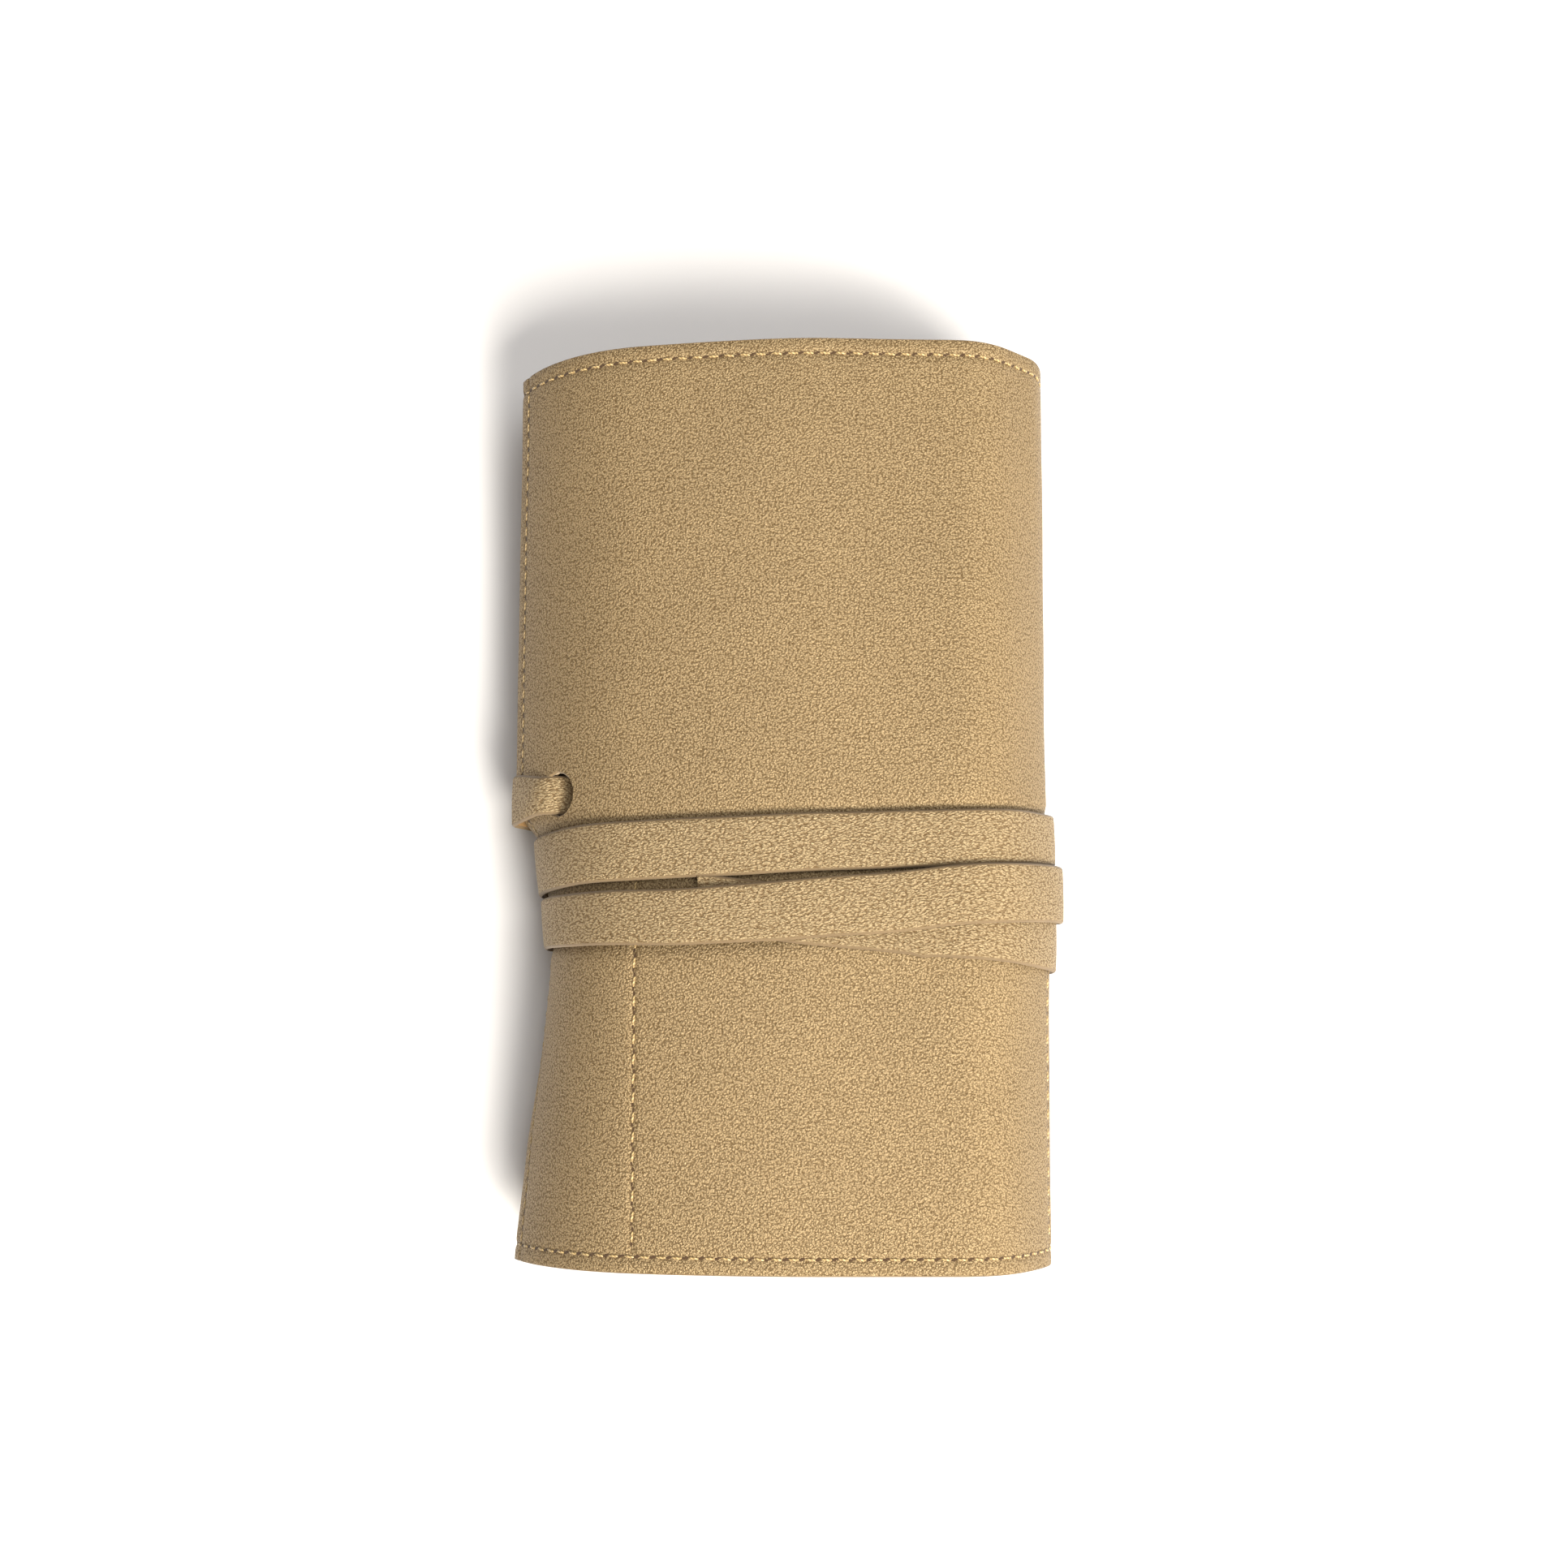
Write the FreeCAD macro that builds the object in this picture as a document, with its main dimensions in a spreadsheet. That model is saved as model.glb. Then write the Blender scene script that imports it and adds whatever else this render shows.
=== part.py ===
"""Brush roll case: a rolled, strap-tied case for paint brushes, drawn in the closed state.

Frame: the roll lies on its back, its axis is Y, +Z is up and the free edge of the cover is at -X.
The origin is on the floor under the middle of the roll. All sizes are millimetres.

The unrolled case is one long sheet of leather, padding and lining. Here it is cut across into seven
lengths that hinge on each other at the outer leather, so that it can unroll. Seen along Y:

    inner panel - left upper fold - left lower fold - back - right lower fold - right upper fold - cover
"""
import FreeCAD, Part
import math
import os
from FreeCAD import Placement, Rotation, Vector

SIZES = {
    "case_length": 220.0,       # along Y, edge to edge
    "shell_thick": 1.0,         # outer leather
    "padding_thick": 0.6,       # felt between leather and lining
    "lining_thick": 0.7,        # inside fabric
    "back_right": 39.7,         # X where the flat back turns into the right fold
    "back_left": 43.3,          # the same on the left, measured to -X
    "fold_radius": 25.0,        # outside radius of the right fold
    "inner_fold_radius": 16.0,  # outside radius of the left fold
    "fold_step": 60.0,          # degrees of fold carried by one length
    "fold_end": 30.0,           # degrees of fold at each end of the back, the cover and the inner panel
    "crown_start": 9.2,         # X where the flat top turns into the gentle crown
    "crown_radius": 170.0,
    "crown_angle": 15.0,
    "shoulder_radius": 51.3,
    "shoulder_angle": 47.0,     # the cover ends after it, at the free edge
    "waist_rise": 2.2,          # the back is drawn up this far over the strap
    "waist_low": 45.0,          # the raised waist runs from -waist_low to waist_high
    "waist_high": 12.0,
    "waist_ramp": 5.0,
    "strap_width": 12.4,
    "strap_thick": 1.4,
    "strap_gap": 0.4,           # clear space between the case and the strap
    "strap_floor": 0.3,         # underside of the strap below the back
    "loop_width": 9.2,          # the strap is gathered where it comes out of the hole
    "hole_radius": 5.4,
    "hole_angle": 40.3,         # slope of the cover at the strap hole, degrees
    "hole_place": 1.2,          # Y of the strap hole
    "tab_start": 18.0,          # degrees from the hole to the sewn end of the strap under the cover
    "tab_end": 5.0,             # degrees from the hole to where the strap turns up
    "tack_start": 16.5,         # degrees from the hole to the first anchor stitches
    "tack_sweep": 8.0,          # degrees that the anchor stitches cover
    "tack_side": 3.4,           # anchor stitches from the strap's middle
    "loop_end": 0.6,            # Y of the strap below the free edge
    "first_right": -10.0,       # Y of the first turn over the right fold
    "first_left": -15.3,        # Y of the first turn over the left fold
    "second_right": -22.6,
    "second_left": -29.3,
    "tail_right": -35.2,
    "tail_left": -26.6,
    "settle_start": 14.0,       # the second turn comes down onto the cover this far past the loose end
    "settle_end": 4.0,
    "tail_end": 18.5,           # the loose end lies this far to -X
    "stitch_length": 2.6,
    "stitch_width": 0.6,
    "stitch_thick": 0.2,
    "stitch_lift": 0.03,
    "hem_pitch": 3.8,
    "seam_pitch": 4.4,
    "hem_inset": 3.8,           # hem rows from the end edges
    "edge_inset": 3.8,          # edge rows from the free edges
    "pocket_bottom": 104.0,     # pockets start at -pocket_bottom and end at -pocket_mouth
    "pocket_mouth": 10.0,
    "pocket_sheet": 0.8,
    "pocket_gap": 5.5,          # open depth of the wide pocket
    "tube_pitch": 19.0,         # one brush pocket to the next
    "tube_height": 6.9,         # open height of a brush pocket
    "tube_gap": 0.2,            # half the clear space between two brush pockets
    "tube_flange": 1.3,         # sewn strip at each side of a brush pocket
    "tube_slope": 2.4,          # bevel of the arch's top corners
    "tube_seam": 0.46,          # stitch rows from the middle of a brush pocket, in pitches
    "side_seam": 0.2,           # side seam of the wide pocket, share of the right upper fold
    "pocket_seam_gap": 0.5,     # the wide pocket stops this many degrees before its seam
    "corner_inset": 2.0,        # degrees clear at each side of the wide pocket's corner sheet
    "inner_reach": 42.0,        # flat length of the inner panel
    "skin_gap": 0.02,           # between sewn-on sheets and the lining
    "hollow_gap": 0.15,         # the same where short flat pieces lie in a hollow curve
}

PARTS = []


def make_sheet(doc):
    """Put the driving sizes in a spreadsheet, one aliased cell each."""
    sheet = doc.addObject("Spreadsheet::Sheet", "Sizes")
    for row, (alias, value) in enumerate(SIZES.items(), start=1):
        sheet.set(f"A{row}", alias)
        sheet.set(f"B{row}", str(value))
        sheet.setAlias(f"B{row}", alias)
    doc.recompute()
    return sheet


doc = FreeCAD.newDocument("brush_roll_case")
sheet = make_sheet(doc)


def size(alias):
    """Value of one driving size."""
    return float(sheet.get(alias))


def keep(obj, node):
    """Label a finished sub-part with its node name and list it for export."""
    obj.Label = node
    PARTS.append(obj)
    return obj


LENGTH = size("case_length")
END = LENGTH / 2
STEP = size("fold_step")
TURN_END = size("fold_end")
LAYERS = {
    "shell": ("0", "Sizes.shell_thick"),
    "padding": ("Sizes.shell_thick", "(Sizes.shell_thick + Sizes.padding_thick)"),
    "lining": ("(Sizes.shell_thick + Sizes.padding_thick)",
               "(Sizes.shell_thick + Sizes.padding_thick + Sizes.lining_thick)"),
}
THICKNESS = size("shell_thick") + size("padding_thick") + size("lining_thick")
DEPTHS = {
    "shell": (0.0, size("shell_thick")),
    "padding": (size("shell_thick"), size("shell_thick") + size("padding_thick")),
    "lining": (size("shell_thick") + size("padding_thick"), THICKNESS),
}


class Arc:
    """A round stretch of the case's outer surface, seen along Y, turning about its own centre."""

    def __init__(self, centre, radius_alias, start, sweep):
        self.centre = centre
        self.alias = radius_alias
        self.radius = size(radius_alias)
        self.start = start
        self.sweep = sweep

    def length(self):
        return math.radians(abs(self.sweep)) * self.radius

    def at(self, share, depth=0.0):
        """Point at a share of the arc, the given depth inside the outer surface, and the outward angle."""
        angle = math.radians(self.start + share * self.sweep)
        reach = self.radius - depth
        return self.centre[0] + reach * math.cos(angle), self.centre[1] + reach * math.sin(angle), angle


class Flat:
    """A level stretch of the case's outer surface from x0 to x1, facing up (+1) or down (-1)."""

    def __init__(self, x0, x1, level, facing):
        self.x0 = x0
        self.x1 = x1
        self.level = level
        self.facing = facing

    def length(self):
        return abs(self.x1 - self.x0)

    def at(self, share, depth=0.0):
        x = self.x0 + share * (self.x1 - self.x0)
        return x, self.level - self.facing * depth, math.radians(90.0 * self.facing)


RIGHT = (size("back_right"), size("fold_radius"))
LEFT = (-size("back_left"), size("inner_fold_radius"))
TOP = 2 * size("fold_radius")
INNER_TOP = 2 * size("inner_fold_radius")
CROWN = (size("crown_start"), TOP - size("crown_radius"))
CROWN_END = 90 + size("crown_angle")
FREE_END = CROWN_END + size("shoulder_angle")
SHOULDER = tuple(
    CROWN[axis] + (size("crown_radius") - size("shoulder_radius")) * turn
    for axis, turn in enumerate((math.cos(math.radians(CROWN_END)), math.sin(math.radians(CROWN_END)))))

PATHS = {
    "back": [Arc(RIGHT, "fold_radius", -90 + TURN_END, -TURN_END),
             Flat(size("back_right"), -size("back_left"), 0.0, -1),
             Arc(LEFT, "inner_fold_radius", -90, -TURN_END)],
    "right_lower": [Arc(RIGHT, "fold_radius", -90 + TURN_END, STEP)],
    "right_upper": [Arc(RIGHT, "fold_radius", -90 + TURN_END + STEP, STEP)],
    "cover": [Arc(RIGHT, "fold_radius", 90 - TURN_END, TURN_END),
              Flat(size("back_right"), size("crown_start"), TOP, 1),
              Arc(CROWN, "crown_radius", 90, size("crown_angle")),
              Arc(SHOULDER, "shoulder_radius", CROWN_END, size("shoulder_angle"))],
    "left_lower": [Arc(LEFT, "inner_fold_radius", -90 - TURN_END, -STEP)],
    "left_upper": [Arc(LEFT, "inner_fold_radius", -90 - TURN_END - STEP, -STEP)],
    "inner_panel": [Arc(LEFT, "inner_fold_radius", 90 + TURN_END, -TURN_END),
                    Flat(-size("back_left"), size("inner_reach") - size("back_left"), INNER_TOP, 1)],
}


# ---------------------------------------------------------------- sheets of the case

def wedge(name, arc, depth, sweep_text, length_text, front):
    """A slice of a cylinder about the arc's centre, its outside the given depth inside the surface."""
    solid = doc.addObject("Part::Cylinder", name)
    solid.setExpression("Radius", f"Sizes.{arc.alias} - ({depth})")
    solid.setExpression("Height", length_text)
    if sweep_text:
        solid.setExpression("Angle", sweep_text)
    turn = Rotation(Vector(1, 0, 0), 90) * Rotation(Vector(0, 0, 1), min(arc.start, arc.start + arc.sweep))
    solid.Placement = Placement(Vector(arc.centre[0], front, arc.centre[1]), turn)
    return solid


def arc_band(name, arc, depths, sweep_text, length_text="Sizes.case_length", front=END):
    """A curved sheet between two depths inside the outer surface, over the whole arc."""
    outer = wedge(name + "_outside", arc, depths[0], sweep_text, length_text, front)
    inner = wedge(name + "_inside", arc, depths[1], "", length_text, front)
    band = doc.addObject("Part::Cut", name)
    band.Base = outer
    band.Tool = inner
    return band


def box(name, corner, length, width, height):
    """A box from its lowest corner, each size an expression or a number."""
    solid = doc.addObject("Part::Box", name)
    for prop, text in (("Length", length), ("Width", width), ("Height", height)):
        solid.setExpression(prop, str(text))
    solid.Placement = Placement(Vector(*corner), Rotation())
    return solid


def flat_band(name, flat, depths, length_text="Sizes.case_length", front=-END, numbers=(0.0, 0.0)):
    """A level sheet between two depths; numbers are the same two depths as plain values."""
    x0 = min(flat.x0, flat.x1)
    low = flat.level - numbers[1] if flat.facing > 0 else flat.level + numbers[0]
    return box(name, (x0, front, low), flat.length(), length_text, f"{depths[1]} - {depths[0]}")


def fuse(name, pieces):
    if len(pieces) == 1:
        return pieces[0]
    joined = doc.addObject("Part::MultiFuse", name)
    joined.Shapes = pieces
    return joined


def cut(name, base, tool):
    result = doc.addObject("Part::Cut", name)
    result.Base = base
    result.Tool = tool
    return result


SWEEPS = {"fold_radius": "Sizes.fold_step", "inner_fold_radius": "Sizes.fold_step",
          "crown_radius": "Sizes.crown_angle", "shoulder_radius": "Sizes.shoulder_angle"}


def sweep_of(arc):
    """The spreadsheet expression of an arc's sweep."""
    if abs(arc.sweep) == TURN_END:
        return "Sizes.fold_end"
    return SWEEPS[arc.alias]


def hole_frame(depth):
    """Place and outward direction of the strap hole, the given depth inside the cover."""
    angle = math.radians(90 + size("hole_angle"))
    reach = size("shoulder_radius") - depth
    outward = Vector(math.cos(angle), 0, math.sin(angle))
    centre = Vector(SHOULDER[0], size("hole_place"), SHOULDER[1])
    return centre + outward * reach, outward


def strap_hole(name):
    """The round hole that the strap comes out of, through every layer of the cover."""
    place, outward = hole_frame(THICKNESS + 2)
    drill = doc.addObject("Part::Cylinder", name)
    drill.setExpression("Radius", "Sizes.hole_radius")
    drill.Height = THICKNESS + 4
    drill.Placement = Placement(place, Rotation(Vector(0, 0, 1), outward))
    return drill


def rolled_sheet(body, layer):
    """One layer of one hinged length of the case."""
    node = f"{body}_{layer}"
    pieces = []
    for number, part in enumerate(PATHS[body]):
        name = f"{node}_{number}"
        if isinstance(part, Arc):
            pieces.append(arc_band(name, part, LAYERS[layer], sweep_of(part)))
        else:
            pieces.append(flat_band(name, part, LAYERS[layer], numbers=DEPTHS[layer]))
    whole = fuse(node + "_joined", pieces)
    if body == "cover":
        whole = cut(node + "_holed", whole, strap_hole(node + "_hole"))
    keep(whole, node)


def back_outline(depth, waisted):
    """Points of the back's surface at a depth, from the right end to the left, flat or drawn up."""
    rise = size("waist_rise")
    points = []
    for part, count in zip(PATHS["back"], (4, 1, 4)):
        shares = [step / count for step in range(count + 1)] if isinstance(part, Arc) else []
        for share in shares:
            x, z, angle = part.at(share)
            last = part.centre is LEFT and share == 1.0
            if waisted and not last:
                z = max(z, rise)
            points.append((x - depth * math.cos(angle), z - depth * math.sin(angle)))
    return points


def ribbon(outer, inner, place):
    """Closed wire across the sheet between two rows of points, at one place along Y."""
    points = [Vector(x, place, z) for x, z in outer + inner[::-1]]
    return Part.makePolygon(points + points[:1])


def waist_stations(first, last):
    """Places along Y where the back changes level, each with whether it is drawn up there."""
    low = -size("waist_low")
    high = size("waist_high")
    ramp_length = size("waist_ramp")
    marks = [(low - ramp_length, False), (low, True), (high, True), (high + ramp_length, False)]
    inside = [mark for mark in marks if first < mark[0] < last]
    return [(first, low <= first <= high)] + inside + [(last, low <= last <= high)]


def back_sheet(layer):
    """One layer of the back: flat, and drawn up over the strap in the middle."""
    top, bottom = DEPTHS[layer]
    wires = [ribbon(back_outline(top, up), back_outline(bottom, up), place)
             for place, up in waist_stations(-END, END)]
    solid = doc.addObject("Part::Feature", f"back_{layer}")
    solid.Shape = Part.makeLoft(wires, True, True)
    keep(solid, f"back_{layer}")


# ---------------------------------------------------------------- pockets

def tube_profile(centre, base):
    """Arch of one brush pocket, with a sewn flange on each side, as outer and inner points."""
    sheet_thick = size("pocket_sheet")
    height = size("tube_height")
    half = size("tube_pitch") / 2 - size("tube_gap")
    wall = half - size("tube_flange")
    slope = size("tube_slope")
    outer = [(-half, 0), (-half, sheet_thick), (-wall, sheet_thick), (-wall, height - slope),
             (slope - wall, height + sheet_thick), (wall - slope, height + sheet_thick),
             (wall, height - slope), (wall, sheet_thick), (half, sheet_thick), (half, 0)]
    room = wall - sheet_thick
    inner = [(-room, 0), (-room, height - slope), (slope - room, height),
             (room - slope, height), (room, height - slope), (room, 0)]
    shift = base + size("skin_gap")
    return ([(centre + x, shift + z) for x, z in outer], [(centre + x, shift + z) for x, z in inner])


def brush_pocket(number):
    """One tube pocket on the back, closed at the bottom end and open at the mouth."""
    centre = (number - 1.5) * size("tube_pitch")
    first = -size("pocket_bottom")
    last = -size("pocket_mouth")
    floor = THICKNESS
    wires = []
    for place, up in waist_stations(first, last):
        outer, inner = tube_profile(centre, floor + (size("waist_rise") if up else 0.0))
        wires.append(ribbon(outer, inner, place))
    tube = Part.makeLoft(wires, True, True)
    outer, _ = tube_profile(centre, floor)
    end = Part.Face(Part.makePolygon([Vector(x, first, z) for x, z in outer + outer[:1]]))
    tube = tube.fuse(end.extrude(Vector(0, size("pocket_sheet"), 0))).removeSplitter()
    node = f"brush_pocket_{number + 1}"
    solid = doc.addObject("Part::Feature", node)
    solid.Shape = tube
    keep(solid, node)


def wide_pocket():
    """Wide flat pocket on the inside of the cover, from the pocket seam to the right fold."""
    sheet_thick = size("pocket_sheet")
    depth = size("pocket_gap")
    start = f"{THICKNESS} + Sizes.skin_gap"
    inside = f"{THICKNESS} + Sizes.pocket_gap"
    outside = f"{inside} + Sizes.pocket_sheet"
    crown, flat = PATHS["cover"][2], PATHS["cover"][1]
    bottom, mouth = -size("pocket_bottom"), -size("pocket_mouth")
    full = "Sizes.pocket_bottom - Sizes.pocket_mouth"
    seam = size("pocket_seam_gap")
    shell = fuse("wide_pocket_block", [
        arc_band("wide_pocket_crown", crown, (start, outside), f"Sizes.crown_angle - {seam}", full, mouth),
        box("wide_pocket_flat", (flat.x1, bottom, TOP - THICKNESS - depth - sheet_thick),
            flat.length(), full, f"{outside} - ({start})")])
    hollow_arc = Arc(CROWN, "crown_radius", 90, size("crown_angle"))
    hollow = fuse("wide_pocket_hollow", [
        arc_band("wide_pocket_crown_room", hollow_arc, ("1.0", inside), f"Sizes.crown_angle - {2 * seam}",
                 full, mouth + sheet_thick),
        box("wide_pocket_flat_room", (flat.x1, bottom + sheet_thick, TOP - THICKNESS - depth),
            flat.length() - sheet_thick, full, f"{inside} - 1.0")])
    keep(cut("wide_pocket_cut", shell, hollow), "cover_wide_pocket")


def pocket_corner():
    """The wide pocket's sheet where it lies against the right upper fold, up to its side seam."""
    start = f"{THICKNESS} + Sizes.skin_gap"
    fold = PATHS["right_upper"][0]
    inset = size("corner_inset")
    short = Arc(fold.centre, fold.alias, fold.start + inset, fold.sweep - 2 * inset)
    full = "Sizes.pocket_bottom - Sizes.pocket_mouth"
    band = arc_band("pocket_corner", short, (start, f"{start} + Sizes.pocket_sheet"),
                    f"Sizes.fold_step - {2 * inset}", full, -size("pocket_mouth"))
    keep(band, "right_upper_pocket_sheet")


def inner_pockets():
    """Two brush pockets under the inner panel, side by side, closed at the bottom end."""
    sheet_thick = size("pocket_sheet")
    bottom = -size("pocket_bottom")
    full = "Sizes.pocket_bottom - Sizes.pocket_mouth"
    top = INNER_TOP - THICKNESS - size("skin_gap")
    depth = size("pocket_gap") + sheet_thick
    left = 1.0 - size("back_left")
    width = size("inner_reach") - 2.0
    block = box("inner_pocket_block", (left, bottom, top - depth), width, full,
                "Sizes.pocket_gap + Sizes.pocket_sheet")
    room = (width - 3 * sheet_thick) / 2
    corner = (bottom + sheet_thick, top - depth + sheet_thick)
    rooms = [box(f"inner_pocket_room_{side}", (left + sheet_thick + side * (room + sheet_thick), *corner),
                 room, full, "Sizes.pocket_gap + 1")
             for side in range(2)]
    keep(cut("inner_pocket_cut", block, fuse("inner_pocket_rooms", rooms)), "inner_brush_pockets")


# ---------------------------------------------------------------- thread

def stitch(x, z, outward, place, along_axis):
    """One thread stitch on a surface: centre, outward angle, place along Y, and its direction."""
    long, wide, thick = size("stitch_length"), size("stitch_width"), size("stitch_thick")
    if along_axis:
        long, wide = wide, long
    solid = Part.makeBox(long, wide, thick, Vector(-long / 2, -wide / 2, size("stitch_lift")))
    solid.Placement = Placement(Vector(x, place, z), Rotation(Vector(0, 1, 0), 90 - math.degrees(outward)))
    return solid


def keep_stitches(node, stitches):
    row = doc.addObject("Part::Feature", node)
    row.Shape = Part.makeCompound(stitches)
    keep(row, node)


def spread(length, pitch):
    """Shares along a length for stitches at about one pitch, clear of both ends."""
    count = max(1, int(length / pitch))
    return [(step + 0.5) / count for step in range(count)]


def hem_rows(body):
    """Stitches along both end hems of one hinged length; the back's are on its lining."""
    places = (END - size("hem_inset"), size("hem_inset") - END)
    stitches = []
    for part in PATHS[body]:
        for share in spread(part.length(), size("hem_pitch")):
            if body == "back":
                x, z, angle = part.at(share, THICKNESS + size("hollow_gap"))
                angle += math.pi
            else:
                x, z, angle = part.at(share)
            stitches += [stitch(x, z, angle, place, False) for place in places]
    keep_stitches(f"{body}_hem_stitches", stitches)


def run_of_stitches(node, part, share, first, last, pitch):
    """A straight seam along Y on one stretch of the outer surface."""
    x, z, angle = part.at(share)
    keep_stitches(node, [stitch(x, z, angle, first + place * (last - first), True)
                         for place in spread(last - first, pitch)])


def seams():
    """Edge rows and pocket seams that show on the outer leather."""
    hem = END - size("hem_inset")
    shoulder = PATHS["cover"][3]
    edge_share = 1 - size("edge_inset") / shoulder.length()
    pitch = size("hem_pitch")
    run_of_stitches("free_edge_stitches", shoulder, edge_share, -hem, hem, pitch)
    flat = PATHS["inner_panel"][1]
    run_of_stitches("inner_edge_stitches", flat, 1 - size("edge_inset") / flat.length(), -hem, hem, pitch)
    low, high = -size("pocket_bottom"), -size("pocket_mouth")
    run_of_stitches("pocket_seam_stitches", shoulder, 0.0, low, high, size("seam_pitch"))
    fold = PATHS["right_upper"][0]
    run_of_stitches("pocket_side_stitches", fold, size("side_seam"), low, high, size("seam_pitch"))


def tube_seams():
    """Rows of stitches in the valleys between the brush pockets, on the flanges."""
    low, high = -size("pocket_bottom") + 1, -size("waist_low") - size("waist_ramp") - 1
    level = THICKNESS + size("skin_gap") + size("pocket_sheet")
    stitches = []
    for number in range(4):
        for side in (-1, 1):
            x = (number - 1.5 + side * size("tube_seam")) * size("tube_pitch")
            stitches += [stitch(x, level, math.pi / 2, low + share * (high - low), True)
                         for share in spread(high - low, size("seam_pitch"))]
    keep_stitches("brush_pocket_stitches", stitches)


# ---------------------------------------------------------------- strap

def around(centre, radius, start, stop, step):
    """Points on a circle about a centre from one angle to another, with outward angles."""
    count = max(1, round(abs(stop - start) / step))
    angles = [math.radians(start + (stop - start) * number / count) for number in range(count + 1)]
    return [(centre[0] + radius * math.cos(a), centre[1] + radius * math.sin(a), a) for a in angles]


def free_corner():
    """Outer corner of the free edge."""
    x, z, _ = PATHS["cover"][3].at(1.0)
    return x, z


def lean_angle():
    """Outward angle of the strap where it runs straight from the free edge down to the left fold."""
    dx, dz = free_corner()[0] - LEFT[0], free_corner()[1] - LEFT[1]
    return math.degrees(math.atan2(dz, dx) % (2 * math.pi) + math.acos(LEFT[1] / math.hypot(dx, dz)))


def strap_over():
    """Inner face of the strap over the top, from the right silhouette to the free edge."""
    gap = size("strap_gap")
    rows = around(RIGHT, RIGHT[1] + gap, 0, 90, 7.5)
    flat = (size("back_right") - size("crown_start")) / 2
    rows += [(size("back_right") - flat, TOP + gap, math.pi / 2)]
    rows += around(CROWN, size("crown_radius") + gap, 90, CROWN_END, 4)
    rows += around(SHOULDER, size("shoulder_radius") + gap, CROWN_END, FREE_END, 6)[1:]
    return rows


def strap_down():
    """Inner face of the strap round the free edge and down the left fold to the floor."""
    gap = size("strap_gap")
    rows = around(free_corner(), gap, FREE_END, lean_angle(), 33)[1:]
    rows += around(LEFT, LEFT[1] + gap, lean_angle(), 240, 7.5)
    return rows


def strap_under():
    """Inner face of the strap under the back and up the right fold to the silhouette."""
    level = size("strap_floor") + size("strap_thick")
    down = -math.pi / 2
    flats = [(x, level, down) for x in (-size("back_left") - 4, -20.0, 0.0, 20.0, size("back_right") + 4.5)]
    return flats + around(RIGHT, RIGHT[1] + size("strap_gap"), -67, 0, 7.5)[:-1]


def strap_solid(rows, width):
    """Flat band through cross-sections of (x, z, outward angle, place along Y, lift)."""
    thick = size("strap_thick")
    wires = []
    for x, z, angle, place, lift in rows:
        out = Vector(math.cos(angle), 0, math.sin(angle))
        inner = Vector(x, place, z) + out * lift
        outer = inner + out * thick
        across = Vector(0, width / 2, 0)
        corners = [inner - across, inner + across, outer + across, outer - across]
        wires.append(Part.makePolygon(corners + corners[:1]))
    return Part.makeLoft(wires, True, True)


def ramp(value, start, stop):
    """0 before start, 1 after stop, straight between."""
    return min(1.0, max(0.0, (value - start) / (stop - start)))


def with_places(rows, first, last, lift=None):
    """Give each cross-section its place along Y, in step with the distance along the strap."""
    steps = [math.hypot(b[0] - a[0], b[1] - a[1]) for a, b in zip(rows, rows[1:])]
    total = sum(steps)
    done = 0.0
    placed = []
    for number, (x, z, angle) in enumerate(rows):
        placed.append((x, z, angle, first + (last - first) * done / total, lift(number, x) if lift else 0.0))
        done += steps[number] if number < len(steps) else 0.0
    return placed


def junction_split():
    """The strap on the way down from the free edge, cut where the sewn-on loop ends."""
    down = strap_down()
    return down[:2], down[1:]


def strap_windings():
    """The strap's two and a half turns round the case, with its loose end tucked under the second."""
    _, half_down = junction_split()
    over, down, under = strap_over(), strap_down(), strap_under()
    layer = size("strap_thick") + size("strap_gap")
    tail_end = -size("tail_end")

    def lowered(number, x):
        return layer * ramp(x, tail_end - size("settle_start"), tail_end - size("settle_end"))

    def rising(number, x):
        last = len(down) + len(under) - 1
        return layer * ramp(number, last - 6, last)

    turns = [with_places(half_down + under, size("loop_end"), size("first_right")),
             with_places(over, size("first_right"), size("first_left")),
             with_places(down + under, size("first_left"), size("second_right"), rising),
             with_places(over, size("second_right"), size("second_left"), lowered),
             with_places(down + under, size("second_left"), size("tail_right"))]
    end_angle = 90 + math.degrees(math.asin((size("tail_end") + CROWN[0]) / size("crown_radius")))
    tail = [row for row in over if row[0] > tail_end]
    tail += around(CROWN, size("crown_radius") + size("strap_gap"), end_angle, end_angle, 1)[:1]
    turns.append(with_places(tail, size("tail_right"), size("tail_left")))
    rows = [row for turn in turns for row in turn]
    solid = doc.addObject("Part::Feature", "strap_windings")
    solid.Shape = strap_solid(rows, size("strap_width"))
    keep(solid, "strap_windings")


def strap_loop():
    """The fixed end of the strap: sewn under the cover, up through the hole and round the free edge."""
    gap, thick = size("strap_gap"), size("strap_thick")
    hole = size("hole_angle") + 90
    radius = size("shoulder_radius")
    inside = radius - THICKNESS - size("hollow_gap")
    tab = around(SHOULDER, inside, hole - size("tab_start"), hole - size("tab_end"), 6)
    rows = [(x, z, angle + math.pi, size("hole_place"), 0.0) for x, z, angle in tab]
    lean = math.radians(hole) + math.pi / 2
    side = Vector(math.cos(lean + math.pi), 0, math.sin(lean + math.pi))
    for depth in (THICKNESS * 0.9, 0.1):
        spot, _ = hole_frame(depth)
        spot = spot + side * thick / 2
        rows.append((spot.x, spot.z, lean, size("hole_place"), 0.0))
    over = around(SHOULDER, radius + gap, hole + 4, FREE_END, 6)
    rows += with_places(over + junction_split()[0], size("hole_place"), size("loop_end"))
    solid = doc.addObject("Part::Feature", "strap_loop")
    solid.Shape = strap_solid(rows, size("loop_width"))
    keep(solid, "strap_loop")


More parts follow.
